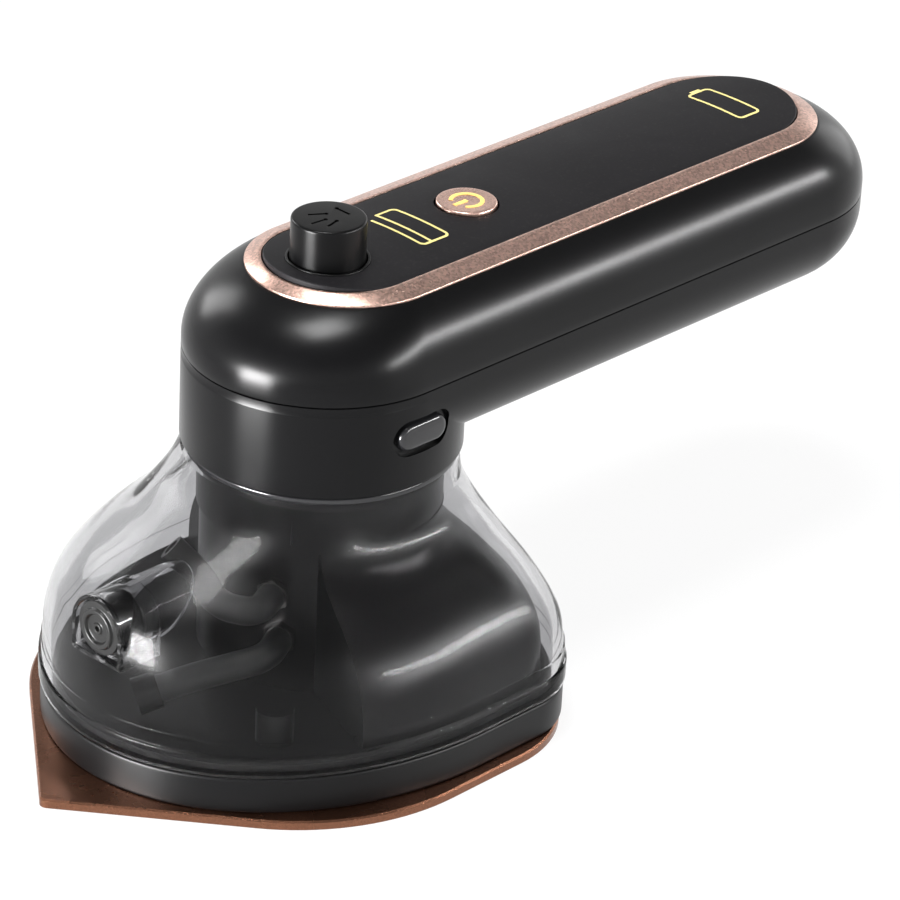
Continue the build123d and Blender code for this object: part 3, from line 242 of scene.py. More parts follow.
def shared(name):
    """The node group of this name, made at its first use."""
    makers = {"grain": moulded_grain_group, "wear": edge_wear_group, "marks": handling_group,
              "flake": metal_flake_group}
    if name not in GROUPS:
        GROUPS[name] = makers[name]()
    return GROUPS[name]


def use(tree, name, **values):
    """Group node of a shared effect with its inputs set."""
    return add_node(tree, "Group", node_tree=shared(name), **values)


def mix_colour(tree, factor, low, high, blend="MIX"):
    """Mix node for colours; each argument is a socket or a plain colour."""
    node = add_node(tree, "Mix", data_type="RGBA", blend_type=blend)
    for index, value in ((0, factor), (6, low), (7, high)):
        if isinstance(value, bpy.types.NodeSocket):
            tree.links.new(value, node.inputs[index])
        elif index == 0:
            node.inputs[0].default_value = value
        else:
            node.inputs[index].default_value = (*value, 1.0)
    return node.outputs[2]


def shade(colour, factor, lift=0.0):
    """The colour times a factor plus a lift, at most 1 in each channel."""
    return tuple(min(1.0, factor * c + lift) for c in colour)


def new_finish(name):
    """New material with its node tree and its shader."""
    mat = bpy.data.materials.new(name)
    mat.use_nodes = True
    tree = mat.node_tree
    shader = tree.nodes["Principled BSDF"]
    return mat, tree, shader


def two_tones(shader, factor, low, high):
    """Base colour of a finish between two colours."""
    tree = shader.id_data
    tree.links.new(mix_colour(tree, factor, low, high), shader.inputs["Base Color"])


def add_roughness(shader, base, marks):
    """Roughness of a finish: its base value and what handling adds or takes."""
    tree = shader.id_data
    total = math_node(tree, "ADD", None, base, clamp=True)
    join(marks, "Roughness offset", total, 0)
    join(total, "Value", shader, "Roughness")


def upright(tree):
    """Direction up the surface, the normal crossed with the level direction along it, and a mask that
    is 1 on walls and 0 on faces that lean by more than 25 degrees."""
    face = add_node(tree, "NewGeometry")
    level = add_node(tree, "VectorMath", operation="CROSS_PRODUCT")
    level.inputs[0].default_value = (0, 0, 1)
    up = add_node(tree, "VectorMath", operation="CROSS_PRODUCT")
    join(face, "Normal", level, 1)
    join(face, "Normal", up, 0)
    join(level, "Vector", up, 1)
    parts = add_node(tree, "SeparateXYZ")
    join(face, "Normal", parts, "Vector")
    lean = math_node(tree, "ABSOLUTE")
    join(parts, "Z", lean, 0)
    steep = add_node(tree, "MapRange", interpolation_type="SMOOTHSTEP", From_Min=0.1,
                     From_Max=0.42, To_Min=1.0, To_Max=0.0)
    join(lean, "Value", steep, "Value")
    return up.outputs["Vector"], steep.outputs["Result"]


def plastic(name, colour, roughness, gloss=0.3, grain=0.15, scale=4000, dust=0.05, smear=0.08, wear=0.0,
            wear_colour=(0.2, 0.2, 0.2), drawn=0.0):
    """Moulded plastic: fine grain, tone drift, dust on top faces and rubbed edges. drawn stretches the
    gloss up the walls, as the polishing of the mould does."""
    mat, tree, shader = new_finish(name)
    skin = use(tree, "grain", Scale=scale, Depth=grain)
    marks = use(tree, "marks", Dust=dust, Smear=smear)
    tone = mix_colour(tree, skin.outputs["Tone"], shade(colour, 0.75), shade(colour, 1.3))
    dusty = mix_colour(tree, marks.outputs["Dust mask"], tone, (0.35, 0.34, 0.32))
    if wear:
        edges = use(tree, "wear", Radius=0.0004, Amount=wear)
        dusty = mix_colour(tree, edges.outputs["Mask"], dusty, wear_colour)
    tree.links.new(dusty, shader.inputs["Base Color"])
    join(skin, "Normal", shader, "Normal")
    add_roughness(shader, roughness, marks)
    set_inputs(shader, Specular_IOR_Level=gloss)
    if drawn:
        up, steep = upright(tree)
        share = math_node(tree, "MULTIPLY", None, drawn)
        tree.links.new(steep, share.inputs[0])
        join(share, "Value", shader, "Anisotropic")
        tree.links.new(up, shader.inputs["Tangent"])
    return mat


def flaked_metal(name, colour, roughness, scale, contrast, tilt=0.3, wear=0.5):
    """Metallic lacquer or anodised metal with visible flakes and brighter edges."""
    mat, tree, shader = new_finish(name)
    flakes = use(tree, "flake", Scale=scale, Contrast=contrast, Tilt=tilt)
    marks = use(tree, "marks", Dust=0.05, Smear=0.1)
    tone = add_node(tree, "CombineColor")
    for channel in ("Red", "Green", "Blue"):
        join(flakes, "Tone", tone, channel)
    base = mix_colour(tree, 1.0, colour, tone.outputs["Color"], "MULTIPLY")
    edges = use(tree, "wear", Radius=0.0003, Amount=wear)
    two_tones(shader, edges.outputs["Mask"], base, shade(colour, 1.35, 0.05))
    join(flakes, "Normal", shader, "Normal")
    add_roughness(shader, roughness, marks)
    set_inputs(shader, Metallic=1.0)
    return mat


def brushed_metal(name, colour, roughness):
    """Drawn or brushed metal: noise stretched along one direction gives streaks."""
    mat, tree, shader = new_finish(name)
    place = add_node(tree, "TexCoord")
    turn = add_node(tree, "Mapping", Scale=(30, 900, 900))
    streaks = add_node(tree, "TexNoise", Scale=4.0, Detail=4.0)
    bump = add_node(tree, "Bump", Strength=0.25, Distance=0.00005)
    marks = use(tree, "marks", Dust=0.0, Smear=0.2)
    join(place, "Object", turn, "Vector")
    join(turn, "Vector", streaks, "Vector")
    join(streaks, "Fac", bump, "Height")
    join(bump, "Normal", shader, "Normal")
    two_tones(shader, streaks.outputs["Fac"], shade(colour, 0.7), colour)
    add_roughness(shader, roughness, marks)
    set_inputs(shader, Metallic=1.0)
    return mat


def clear_wall(name, tint, ripple=0.03, ior=1.49, sheen=0.0):
    """Clear moulded wall: tinted transmission, slight flow ripple and smears that dull the gloss.
    sheen is the share of a satin outer layer that gives soft highlights."""
    mat, tree, shader = new_finish(name)
    place = add_node(tree, "TexCoord")
    flow = add_node(tree, "TexNoise", Scale=60.0, Detail=1.0)
    bump = add_node(tree, "Bump", Strength=ripple, Distance=0.0002)
    marks = use(tree, "marks", Dust=0.0, Smear=0.05)
    join(place, "Object", flow, "Vector")
    join(flow, "Fac", bump, "Height")
    join(bump, "Normal", shader, "Normal")
    two_tones(shader, flow.outputs["Fac"], shade(tint, 0.85), tint)
    add_roughness(shader, 0.02, marks)
    set_inputs(shader, IOR=ior, Transmission_Weight=1.0)
    if sheen:
        set_inputs(shader, Coat_Weight=sheen, Coat_Roughness=0.26)
    return mat


def soft_tube(name, tint):
    """Translucent silicone hose: half clear, half milky, with a fine grain."""
    mat, tree, shader = new_finish(name)
    marks = use(tree, "marks", Dust=0.0, Smear=0.1)
    skin = use(tree, "grain", Scale=1500, Depth=0.1)
    two_tones(shader, skin.outputs["Tone"], shade(tint, 0.8), tint)
    join(skin, "Normal", shader, "Normal")
    add_roughness(shader, 0.3, marks)
    set_inputs(shader, Transmission_Weight=0.5, Specular_IOR_Level=0.2, IOR=1.3)
    return mat


def printed(name, colour):
    """Printed lacquer: even colour with tiny gaps in the ink."""
    mat, tree, shader = new_finish(name)
    skin = use(tree, "grain", Scale=5000, Depth=0.3)
    two_tones(shader, skin.outputs["Height"], shade(colour, 0.8), colour)
    join(skin, "Normal", shader, "Normal")
    set_inputs(shader, Roughness=0.4)
    return mat


# ---------------------------------------------------------------- surface helpers (millimetres)

def rounded(points, reach, steps, closed=False):
    """Polyline whose corners become curves q(t) = (1-t)^2 a + 2t(1-t) p + t^2 b, where a and b lie
    on the two runs at the given distance from the corner p."""
    p = np.asarray(points, float)
    if closed:
        before, here, after = np.roll(p, 1, 0), p, np.roll(p, -1, 0)
    else:
        before, here, after = p[:-2], p[1:-1], p[2:]
    r = np.broadcast_to(np.asarray(reach, float), (len(here),))[:, None]
    back, ahead = before - here, after - here
    a = here + r * back / np.linalg.norm(back, axis=1, keepdims=True)
    b = here + r * ahead / np.linalg.norm(ahead, axis=1, keepdims=True)
    t = np.linspace(0, 1, steps)[None, :, None]
    curves = (1 - t) ** 2 * a[:, None] + 2 * t * (1 - t) * here[:, None] + t ** 2 * b[:, None]
    curves = curves.reshape(-1, p.shape[1])
    return curves if closed else np.vstack([p[:1], curves, p[-1:]])


def smooth_rows(table, count):
    """Rows between those of the table: cubic Hermite curves over its first column, with slopes taken
    from the neighbouring rows."""
    table = np.asarray(table, float)
    x, y = table[:, 0], table[:, 1:]
    slope = np.gradient(y, x, axis=0)
    at = np.linspace(x[0], x[-1], count)
    i = np.clip(np.searchsorted(x, at, side="right") - 1, 0, len(x) - 2)
    h = (x[i + 1] - x[i])[:, None]
    t = ((at - x[i])[:, None]) / h
    rows = ((2 * t ** 3 - 3 * t ** 2 + 1) * y[i] + (t ** 3 - 2 * t ** 2 + t) * h * slope[i]
            + (-2 * t ** 3 + 3 * t ** 2) * y[i + 1] + (t ** 3 - t ** 2) * h * slope[i + 1])
    return np.column_stack([at, rows])


def arc(cx, cy, rx, ry, first, last, count, ends=True):
    """Points (cx + rx cos a, cy + ry sin a) for angles in degrees; columns broadcast over rows."""
    a = np.radians(np.linspace(first, last, count, endpoint=ends))[None, :]
    shape = [np.atleast_1d(np.asarray(v, float))[:, None] for v in (cx, cy, rx, ry)]
    return np.stack([shape[0] + shape[2] * np.cos(a), shape[1] + shape[3] * np.sin(a)], axis=-1)


def egg_rows(rows):
    """Grid of the head's plan, one ring per row (height, front, side, rear, square): half an ellipse
    in front, then a side line, a quarter ellipse, the flat back, a quarter ellipse and a side line."""
    z, front, side, rear, square = np.asarray(rows, float).T
    straight = np.maximum(SIDE_LINE * square, 0.3)
    flat = np.maximum(BACK_HALF * square, 0.3)
    none = np.zeros_like(z)
    t = np.linspace(0, 1, 9)[None, 1:-1]

    def line(x0, y0, x1, y1):
        ends = ((x0, x1), (y0, y1))
        return np.stack([start[:, None] * (1 - t) + stop[:, None] * t for start, stop in ends], -1)

    parts = [arc(none, none, front, side, 90, 270, 121), line(none, -side, straight, -side),
             arc(straight, -flat, rear - straight, side - flat, 270, 360, 37),
             line(rear, -flat, rear, flat),
             arc(straight, flat, rear - straight, side - flat, 0, 90, 37), line(straight, side, none, side)]
    plan = np.concatenate(parts, axis=1)
    return np.dstack([plan, np.broadcast_to(z[:, None], plan.shape[:2])])


def stadium_rows(rows):
    """Grid of the handle's plan, one ring per row (height, half width, x of the head's end centre, x of
    the far end's centre): two half circles joined by straight sides."""
    z, half, x0, x1 = np.asarray(rows, float).T
    none = np.zeros_like(z)
    t = np.linspace(0, 1, 25)[None, 1:-1]

    def side(y, start, stop):
        x = start[:, None] * (1 - t) + stop[:, None] * t
        return np.stack([x, np.broadcast_to(y[:, None], x.shape)], -1)

    plan = np.concatenate([arc(x0, none, half, half, 90, 270, 65), side(-half, x0, x1),
                           arc(x1, none, half, half, -90, 90, 65), side(half, x1, x0)], axis=1)
    return np.dstack([plan, np.broadcast_to(z[:, None], plan.shape[:2])])


def arched(grid, low):
    """Lowers the points above the height low to the panel's arch, z - R + sqrt(R^2 - y^2)."""
    drop = ARCH_R - np.sqrt(ARCH_R ** 2 - np.minimum(np.abs(grid[..., 1]), ARCH_R) ** 2)
    grid = grid.copy()
    grid[..., 2] -= np.where(grid[..., 2] > low, drop, 0.0)
    return grid


def turned_rows(profile, count, x=0.0, y=0.0):
    """Grid of a turned form: every profile point (r, z) goes round to (x + r cos a, y + r sin a, z)."""
    r, z = np.asarray(profile, float).T
    ring = arc(np.full_like(r, x), np.full_like(r, y), r, r, 0, 360, count, ends=False)
    return np.dstack([ring, np.broadcast_to(z[:, None], ring.shape[:2])])


def make_piece(name, grid, loop=False, sharp=32.0, turn=None):
    """Mesh of a grid of points in millimetres. Rings close on themselves; rows close too if loop is
    set, and otherwise the first and last rings are capped. turn maps the points to the part's frame."""
    rows, columns, _ = grid.shape
    points = grid.reshape(-1, 3) * MM
    if turn is not None:
        points = points @ np.asarray(turn.to_3x3()).T + np.asarray(turn.translation)
    index = np.arange(rows * columns).reshape(rows, columns)
    low = index if loop else index[:-1]
    high = np.roll(index, -1, 0) if loop else index[1:]
    quads = np.stack([low, np.roll(low, -1, 1), np.roll(high, -1, 1), high], -1).reshape(-1, 4)
    faces = quads.tolist()
    if not loop:
        faces += [index[0][::-1].tolist(), index[-1].tolist()]
    mesh = bpy.data.meshes.new(name)
    mesh.from_pydata(points, [], faces)
    face_out(mesh)
    obj = bpy.data.objects.new(name, mesh)
    bpy.context.scene.collection.objects.link(obj)
    smooth(obj, sharp)
    return obj


def rod(r, low, high, count=96, x=0.0, y=0.0):
    """Upright round bar between two heights, a tool for carve."""
    return make_piece("rod", turned_rows([(r, low), (r, high)], count, x, y))


def face_out(mesh):
    """Normals of a closed mesh outward."""
    form = bmesh.new()
    form.from_mesh(mesh)
    bmesh.ops.remove_doubles(form, verts=form.verts, dist=1e-7)
    bmesh.ops.recalc_face_normals(form, faces=form.faces)
    form.to_mesh(mesh)
    form.free()
    mesh.validate()


def smooth(obj, sharp):
    """Smooth shading, with edges over the given angle in degrees left sharp."""
    mesh = obj.data
    mesh.polygons.foreach_set("use_smooth", np.ones(len(mesh.polygons), bool))
    mesh.set_sharp_from_angle(angle=math.radians(sharp))
    mesh.update()


def carve(obj, tool, operation="DIFFERENCE", sharp=32.0):
    """Takes the tool from the piece, or adds it, and keeps the result in the piece's own mesh."""
    step = obj.modifiers.new("cut", "BOOLEAN")
    step.operation = operation
    step.solver = "EXACT"
    step.object = tool
    graph = bpy.context.evaluated_depsgraph_get()
    result = bpy.data.meshes.new_from_object(obj.evaluated_get(graph), depsgraph=graph)
    obj.modifiers.clear()
    old, obj.data = obj.data, result
    bpy.data.meshes.remove(old)
    bpy.data.objects.remove(tool)
    smooth(obj, sharp)
    return obj


def finish_piece(obj, body, slot, mat, *nodes):
    """Rides on the body, stands for the CAD nodes and takes the material."""
    obj.data.materials.clear()
    obj.data.materials.append(mat)
    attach(obj, body)
    if nodes:
        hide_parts(*nodes)
    return obj


def dress(mat, *names):
    """Gives CAD nodes whose shape is kept their finish."""
    for name in names:
        node = NODES[name]
        for index in range(max(1, len(node.material_slots))):
            if node.material_slots:
                node.material_slots[index].material = mat
            else:
                node.data.materials.append(mat)


# ---------------------------------------------------------------- sizes shared by the pieces (mm)

TURRET_R, TURRET_Z = 24.08, 48.6
TURRET_ROOM_R, HUB_BORE_R = 21.86, 17.38
HANDLE_L = 102.3
SHELL_WALL = 2.2
SEAM_Z, CROWN_Z = 65.44, 66.96
CROWN_IN, CROWN_RISE, CROWN_ANGLE = 13.7, 14.0, 59.7
CROWN_FRONT, CROWN_FAR = 0.687, 0.53        # shares of the inset at the two ends
KNOB_R, KNOB_HOLE_R = 6.4, 6.7
KEY_X, KEY_HOLE_R = 33.0, 5.65              # the power button
POSTS = [(24.5, 13.5), (24.5, -13.5), (HANDLE_L + 3.7, 11.5), (HANDLE_L + 3.7, -11.5)]
ROOF_Z = 79.0475
PANEL_Z = 81.5475       # the panel's middle line
PANEL_ARCH, TRIM_IN_HALF = 1.0, 13.5
ARCH_R = (TRIM_IN_HALF ** 2 + PANEL_ARCH ** 2) / (2 * PANEL_ARCH)
PRINT_LIFT = 0.03
BELLY_R, BELLY_RISE = 12.2, 2.0             # the handle's lower edge
POST_R, WELL_R, SHANK_R = 2.8, 2.2, 1.3     # the handle's screws
RELEASE_CAP, RELEASE_HOLE, RELEASE_RECESS = (10.7, 4.7), (10.86, 4.86), (13.0, 6.6)
PORT = (9.6, 3.9)
TRIM_H, TRIM_EDGE, TRIM_LIP, TRIM_FRONT = 1.5, 0.35, 0.5, 3.4
SYMBOL_DEPTH = 0.4
SIDE_LINE, BACK_HALF = 14.0, 16.0           # straight parts of the head's sides and back
MOUTH_R, MOUTH_SILL = 6.0, 5.8
BASE_Z = (1.6, 8.0)
BASE_PLAN = (51.4, 41.2, 31.8)
RIM_Z, NECK_Z = 8.6, 47.3
NECK_IN, NECK_OUT = 21.3, 23.3
TANK_FOOT = (51.2, 40.9, 31.3)
TANK_ROWS = [(15.0, *TANK_FOOT, 1.0), (21.0, 51.0, 40.0, 29.8, 1.0), (27.0, 50.3, 36.6, 27.9, 0.78),
             (33.0, 47.6, 30.9, 25.9, 0.42), (39.0, 38.2, 25.0, 24.6, 0.14), (43.5, 29.0, 23.7, 23.9, 0.0),
             (NECK_Z, 24.4, NECK_OUT, NECK_OUT, 0.0)]
MOUTH_AXIS, PORT_AXIS, RELEASE_AXIS = 0.0294, 0.0622, 0.058     # heights in metres
GLOSS_BLACK = (0.01, 0.01, 0.011)


class SteamerTank(bpy.types.PropertyGroup):
    """Sizes of the clear tank."""
    wall: bpy.props.FloatProperty(
        name="Wall", description="Thickness of the clear wall", subtype="DISTANCE", unit="LENGTH",
        default=0.0016, min=0.0005, max=0.003)
    rim_height: bpy.props.FloatProperty(
        name="Rim height", description="Height of the lower rim band", subtype="DISTANCE",
        unit="LENGTH", default=0.0037)
    step_in: bpy.props.FloatProperty(
        name="Step", description="How far the upper band steps in from the rim", subtype="DISTANCE",
        unit="LENGTH", default=0.00045)


def settings():
    """The steamer's settings in this scene."""
    return bpy.context.scene.steamer


# ---------------------------------------------------------------- operators

class STEAMER_OT_tank(bpy.types.Operator):
    """Clear tank: one closed wall. Rings of the head's plan run up the stepped rim and the bell, over
    the neck's lip and down inside at the wall's thickness."""
    bl_idname = "steamer.tank"
    bl_label = "Tank"

    def execute(self, context):
        tank, colours = settings().tank, settings().colours
        wall = tank.wall / MM
        rim = np.array(BASE_PLAN) + 0.35
        band = rim - tank.step_in / MM
        foot = np.array(TANK_FOOT)
        rim_top = RIM_Z + tank.rim_height / MM
        band_top = TANK_ROWS[0][0]
        low = rounded([(RIM_Z, *(foot - wall), 1), (RIM_Z, *rim, 1), (rim_top, *rim, 1), (rim_top, *band, 1),
                       (band_top, *band, 1), (band_top, *foot, 1), (band_top + 1.5, *foot, 1)],
                      [0.35, 0.5, 0.2, 0.2, 0.1], 5)[:-1]
        outer = smooth_rows(TANK_ROWS, 60)[2:]
        inner = outer - np.array([0.9 * wall, wall, wall, wall, 0])
        lip = [(NECK_Z, *[NECK_OUT] * 3, 0), (NECK_Z, *[NECK_IN] * 3, 0), (NECK_Z - 1.3, *[NECK_IN] * 3, 0)]
        lip = rounded([outer[-1], *lip, inner[-1]], [0.2, 0.3, 0.2], 4)[1:-1]
        rows = np.vstack([low, outer, lip, inner[::-1]])
        piece = make_piece("tank_clear", egg_rows(rows), loop=True, sharp=30)
        mouth = mouth_rows([(-60.0, 0.02), (-40.0, 0.02)])
        cutter = make_piece("mouth_cutter", mouth, turn=MOUTH_TURN)
        carve(piece, cutter, sharp=30)
        mat = clear_wall("Smoky clear tank", tuple(colours.smoke), ripple=0.01, ior=1.1, sheen=0.2)
        finish_piece(piece, "head", "tank_smoke", mat, "tank_shell")
        return {"FINISHED"}


MOUTH_TURN = Matrix(((0, 0, 1, 0), (1, 0, 0, 0), (0, 1, 0, MOUTH_AXIS), (0, 0, 0, 1)))


def mouth_outline(grow):
    """Distance from the neck's axis to its D-shaped outline at each angle: a circle above, straight
    sides and a flat sill below."""
    a = np.radians(np.linspace(0, 360, 144, endpoint=False))
    r = MOUTH_R + grow
    across = r / np.maximum(np.abs(np.cos(a)), 1e-6)
    down = (MOUTH_SILL + grow) / np.maximum(-np.sin(a), 1e-6)
    return a, np.where(np.sin(a) >= 0, r, np.minimum(across, down))


def mouth_rows(rows):
    """Grid of D-shaped rings seen along the neck's axis, one per row (distance along it, growth)."""
    rings = []
    for along, grow in rows:
        a, reach = mouth_outline(grow)
        rings.append(np.column_stack([reach * np.cos(a), reach * np.sin(a), np.full_like(a, along)]))
    return np.array(rings)


class STEAMER_OT_filling_neck(bpy.types.Operator):
    """Filling neck and its rubber plug. The neck is one wall: D-shaped rings at the mouth go over into
    round rings, whose far end is cut at a slant, and come back inside. The plug is a turned form."""
    bl_idname = "steamer.filling_neck"
    bl_label = "Filling neck"

    def execute(self, context):
        a, _ = mouth_outline(0.0)
        direction = np.column_stack([np.cos(a), np.sin(a)])

        def ring(reach, along):
            return np.column_stack([direction * np.broadcast_to(reach, a.shape)[:, None],
                                    np.broadcast_to(along, a.shape)])

        def d_ring(grow, along):
            return ring(mouth_outline(grow)[1], along)

        slant = -36.0 + 5.0 * np.sin(a)
        front, seat, collar = -50.7, -49.5, -41.7
        tube_r, bore_r = 5.5, 4.5
        mouth = [d_ring(-0.9, seat), d_ring(-0.9, -50.55), d_ring(-0.75, front), d_ring(-0.15, front),
                 d_ring(0.0, -50.55), d_ring(0.0, -41.8), d_ring(-0.1, collar)]
        tube = [ring(tube_r, collar + t * (slant - collar)) for t in np.linspace(0.1, 0.985, 10)]
        end = [ring(5.4, slant), ring(4.6, slant)]
        bore = [ring(bore_r, seat + t * (slant - seat)) for t in np.linspace(0.985, 0.02, 14)]
        grid = np.array([*mouth, ring(tube_r, collar), *tube, *end, *bore, ring(4.6, seat)])
        neck = make_piece("filling_neck_clear", grid, loop=True, sharp=40, turn=MOUTH_TURN)
        mat = clear_wall("Clear filling neck", (0.6, 0.6, 0.61), ripple=0.02, ior=1.25, sheen=0.2)
        finish_piece(neck, "head", "neck_clear", mat, "fill_neck")

        face = -50.2
        profile = [(0.05, -43.5), (4.0, -43.5), (4.42, -44.2), (4.42, seat), (4.8, seat), (4.8, face),
                   (3.7, face), (3.45, face - 0.6), (2.75, face - 0.6), (2.45, face), (1.1, face),
                   (0.9, face - 0.35), (0.5, face - 0.3), (0.35, face + 0.5), (0.05, face + 0.5)]
        reach = [0.2, 0.2, 0.1, 0.1, 0.2, 0.15, 0.2, 0.2, 0.15, 0.15, 0.1, 0.1, 0.1]
        profile = rounded(profile, reach, 5)
        plug = make_piece("filling_plug", turned_rows(profile, 72), turn=MOUTH_TURN)
        rubber = plastic("Black plug rubber", (0.005, 0.005, 0.005), 0.34, gloss=0.35, grain=0.2,
                         scale=2500)
        finish_piece(plug, "plug", "plug_rubber", rubber, "fill_plug")
        return {"FINISHED"}


class STEAMER_OT_handle_shells(bpy.types.Operator):
    """Two moulded shells of the handle. Rings of the handle's plan follow the rounding
    inset = i (1 - cos a), height = h sin a, outside and, less the wall, inside."""
    bl_idname = "steamer.handle_shells"
    bl_label = "Handle shells"

    def execute(self, context):
        colours = settings().colours
        mat = plastic("Satin black shell", tuple(colours.shell), 0.26, gloss=0.16, grain=0.08, scale=5200,
                      dust=0.004, smear=0.05, wear=0.2, wear_colour=(0.03, 0.03, 0.03), drawn=0.8)
        upper = self.upper_shell()
        finish_piece(upper, "handle", "shell_black", mat, "handle_upper_shell")
        lower = self.lower_shell()
        finish_piece(lower, "handle", "shell_black", mat, "handle_lower_shell")
        return {"FINISHED"}

    def crown_rows(self, wall, low):
        """Rings up the handle's rounding, from the height low to the roof."""
        angle = np.radians(np.linspace(0, CROWN_ANGLE, 36))
        inset = CROWN_IN * (1 - np.cos(angle))
        height = CROWN_Z + (CROWN_RISE - wall) * np.sin(angle)
        half = TURRET_R - wall - inset
        rows = np.column_stack([height, half, CROWN_FRONT * inset, HANDLE_L - CROWN_FAR * inset])
        skirt = np.array([(low, TURRET_R - wall, 0, HANDLE_L)])
        return np.vstack([skirt, rows])

    def upper_shell(self):
        """Crown with a flat roof, open below, with the holes for the two buttons."""
        lip = SEAM_Z + 0.2
        outer = self.crown_rows(0.0, lip + 0.1)
        edge = np.array([(lip, TURRET_R - 0.1, 0, HANDLE_L), (lip + 0.03, TURRET_R - 0.03, 0, HANDLE_L)])
        top = outer[-1].copy()
        roof = np.array([(top[0], top[1] - 0.3, top[2], top[3])])
        inner = self.crown_rows(SHELL_WALL, lip + 1.0)
        inner = inner[inner[:, 0] < ROOF_Z - SHELL_WALL]
        bottom = np.array([(lip, TURRET_R - SHELL_WALL, 0, HANDLE_L)])
        rows = np.vstack([inner[::-1], bottom, edge, outer, roof])
        piece = make_piece("upper_shell", stadium_rows(rows))
        for r, x in ((KNOB_HOLE_R, 0.0), (KEY_HOLE_R, KEY_X)):
            carve(piece, rod(r, 60, 90, x=x))
        return piece

    def belly_rows(self, wall, top):
        """Rings from the handle's bottom round its lower edge and up to the height top."""
        angle = np.radians(np.linspace(0, 90, 20))
        r = BELLY_R - wall
        bottom = TURRET_Z + BELLY_RISE + wall
        half = TURRET_R - wall - r + r * np.sin(angle)
        height = bottom + r - r * np.cos(angle)
        rows = np.column_stack([height, half, 0 * angle, 0 * angle + HANDLE_L])
        lip = 0.0 if wall else 0.08
        return np.vstack([rows, [(top - 0.08, half[-1], 0, HANDLE_L), (top, half[-1] - lip, 0, HANDLE_L)]])

    def tongue(self):
        """Lip of the lower shell inside the upper one, one loop of the handle's plan."""
        inner, low, top = TURRET_R - SHELL_WALL, SEAM_Z - 1.2, SEAM_Z + 1.5
        seam = SEAM_Z - 0.02
        loop = [(low, inner - 0.8), (low, inner + 0.3), (seam, inner + 0.3), (seam, inner - 0.13),
                (top, inner - 0.13), (top, inner - 0.8)]
        rows = np.array([(z, half, 0, HANDLE_L) for z, half in loop])
        return make_piece("tongue", stadium_rows(rows), loop=True)

    def lower_shell(self):
        """Belly and turret, hollowed, with tongue, hub hole, recess, charging port and screw posts."""
        piece = make_piece("lower_shell", stadium_rows(self.belly_rows(0.0, SEAM_Z)))
        r = TURRET_R + 0.02
        top = SEAM_Z - 1.5
        turret = rounded([(0.5, TURRET_Z), (r, TURRET_Z), (r, top), (0.5, top)], [0.35, 0.2], 5)
        carve(piece, make_piece("turret", turned_rows(turret, 192)), "UNION")
        carve(piece, make_piece("room", stadium_rows(self.belly_rows(SHELL_WALL, 80.0))))
        carve(piece, rod(TURRET_ROOM_R, TURRET_Z + SHELL_WALL, 81, 128))
        carve(piece, self.tongue(), "UNION")
        carve(piece, rod(HUB_BORE_R, 40, 60, 128))
        for size, depth in ((RELEASE_RECESS, 1.4), (RELEASE_HOLE, 8.0)):
            carve(piece, pill_tool(*size, -TURRET_R - 5, -TURRET_R + depth))
        port = pill_rows(*PORT, [(HANDLE_L + 15, 0), (HANDLE_L + 40, 0)])
        turn = Matrix(((0, 0, 1, 0), (1, 0, 0, 0), (0, 1, 0, PORT_AXIS), (0, 0, 0, 1)))
        carve(piece, make_piece("port", port, turn=turn))
        for place in POSTS:
            carve(piece, rod(POST_R, 51.4, SEAM_Z - 0.4, 32, *place), "UNION")
            carve(piece, rod(WELL_R, 45, 53.0, 32, *place))
            carve(piece, rod(SHANK_R, 45, 70, 24, *place))
        return piece


def pill_rows(width, height, rows, count=33):
    """Grid of oblong rings, one per row (distance along, inset): two half circles and two lines."""
    rings = []
    for along, inset in rows:
        r = height / 2 - inset
        reach = (width - height) / 2
        left = arc(-reach, 0, r, r, 90, 270, count)[0]
        right = arc(reach, 0, r, r, -90, 90, count)[0]
        plan = np.vstack([left, right])
        rings.append(np.column_stack([plan, np.full(len(plan), along)]))
    return np.array(rings)


RELEASE_TURN = Matrix(((1, 0, 0, 0), (0, 0, 1, 0), (0, 1, 0, RELEASE_AXIS), (0, 0, 0, 1)))


def pill_tool(width, height, y0, y1):
    """Oblong bar across the turret's side at the release button's height."""
    return make_piece("pill", pill_rows(width, height, [(y0, 0), (y1, 0)]), turn=RELEASE_TURN)


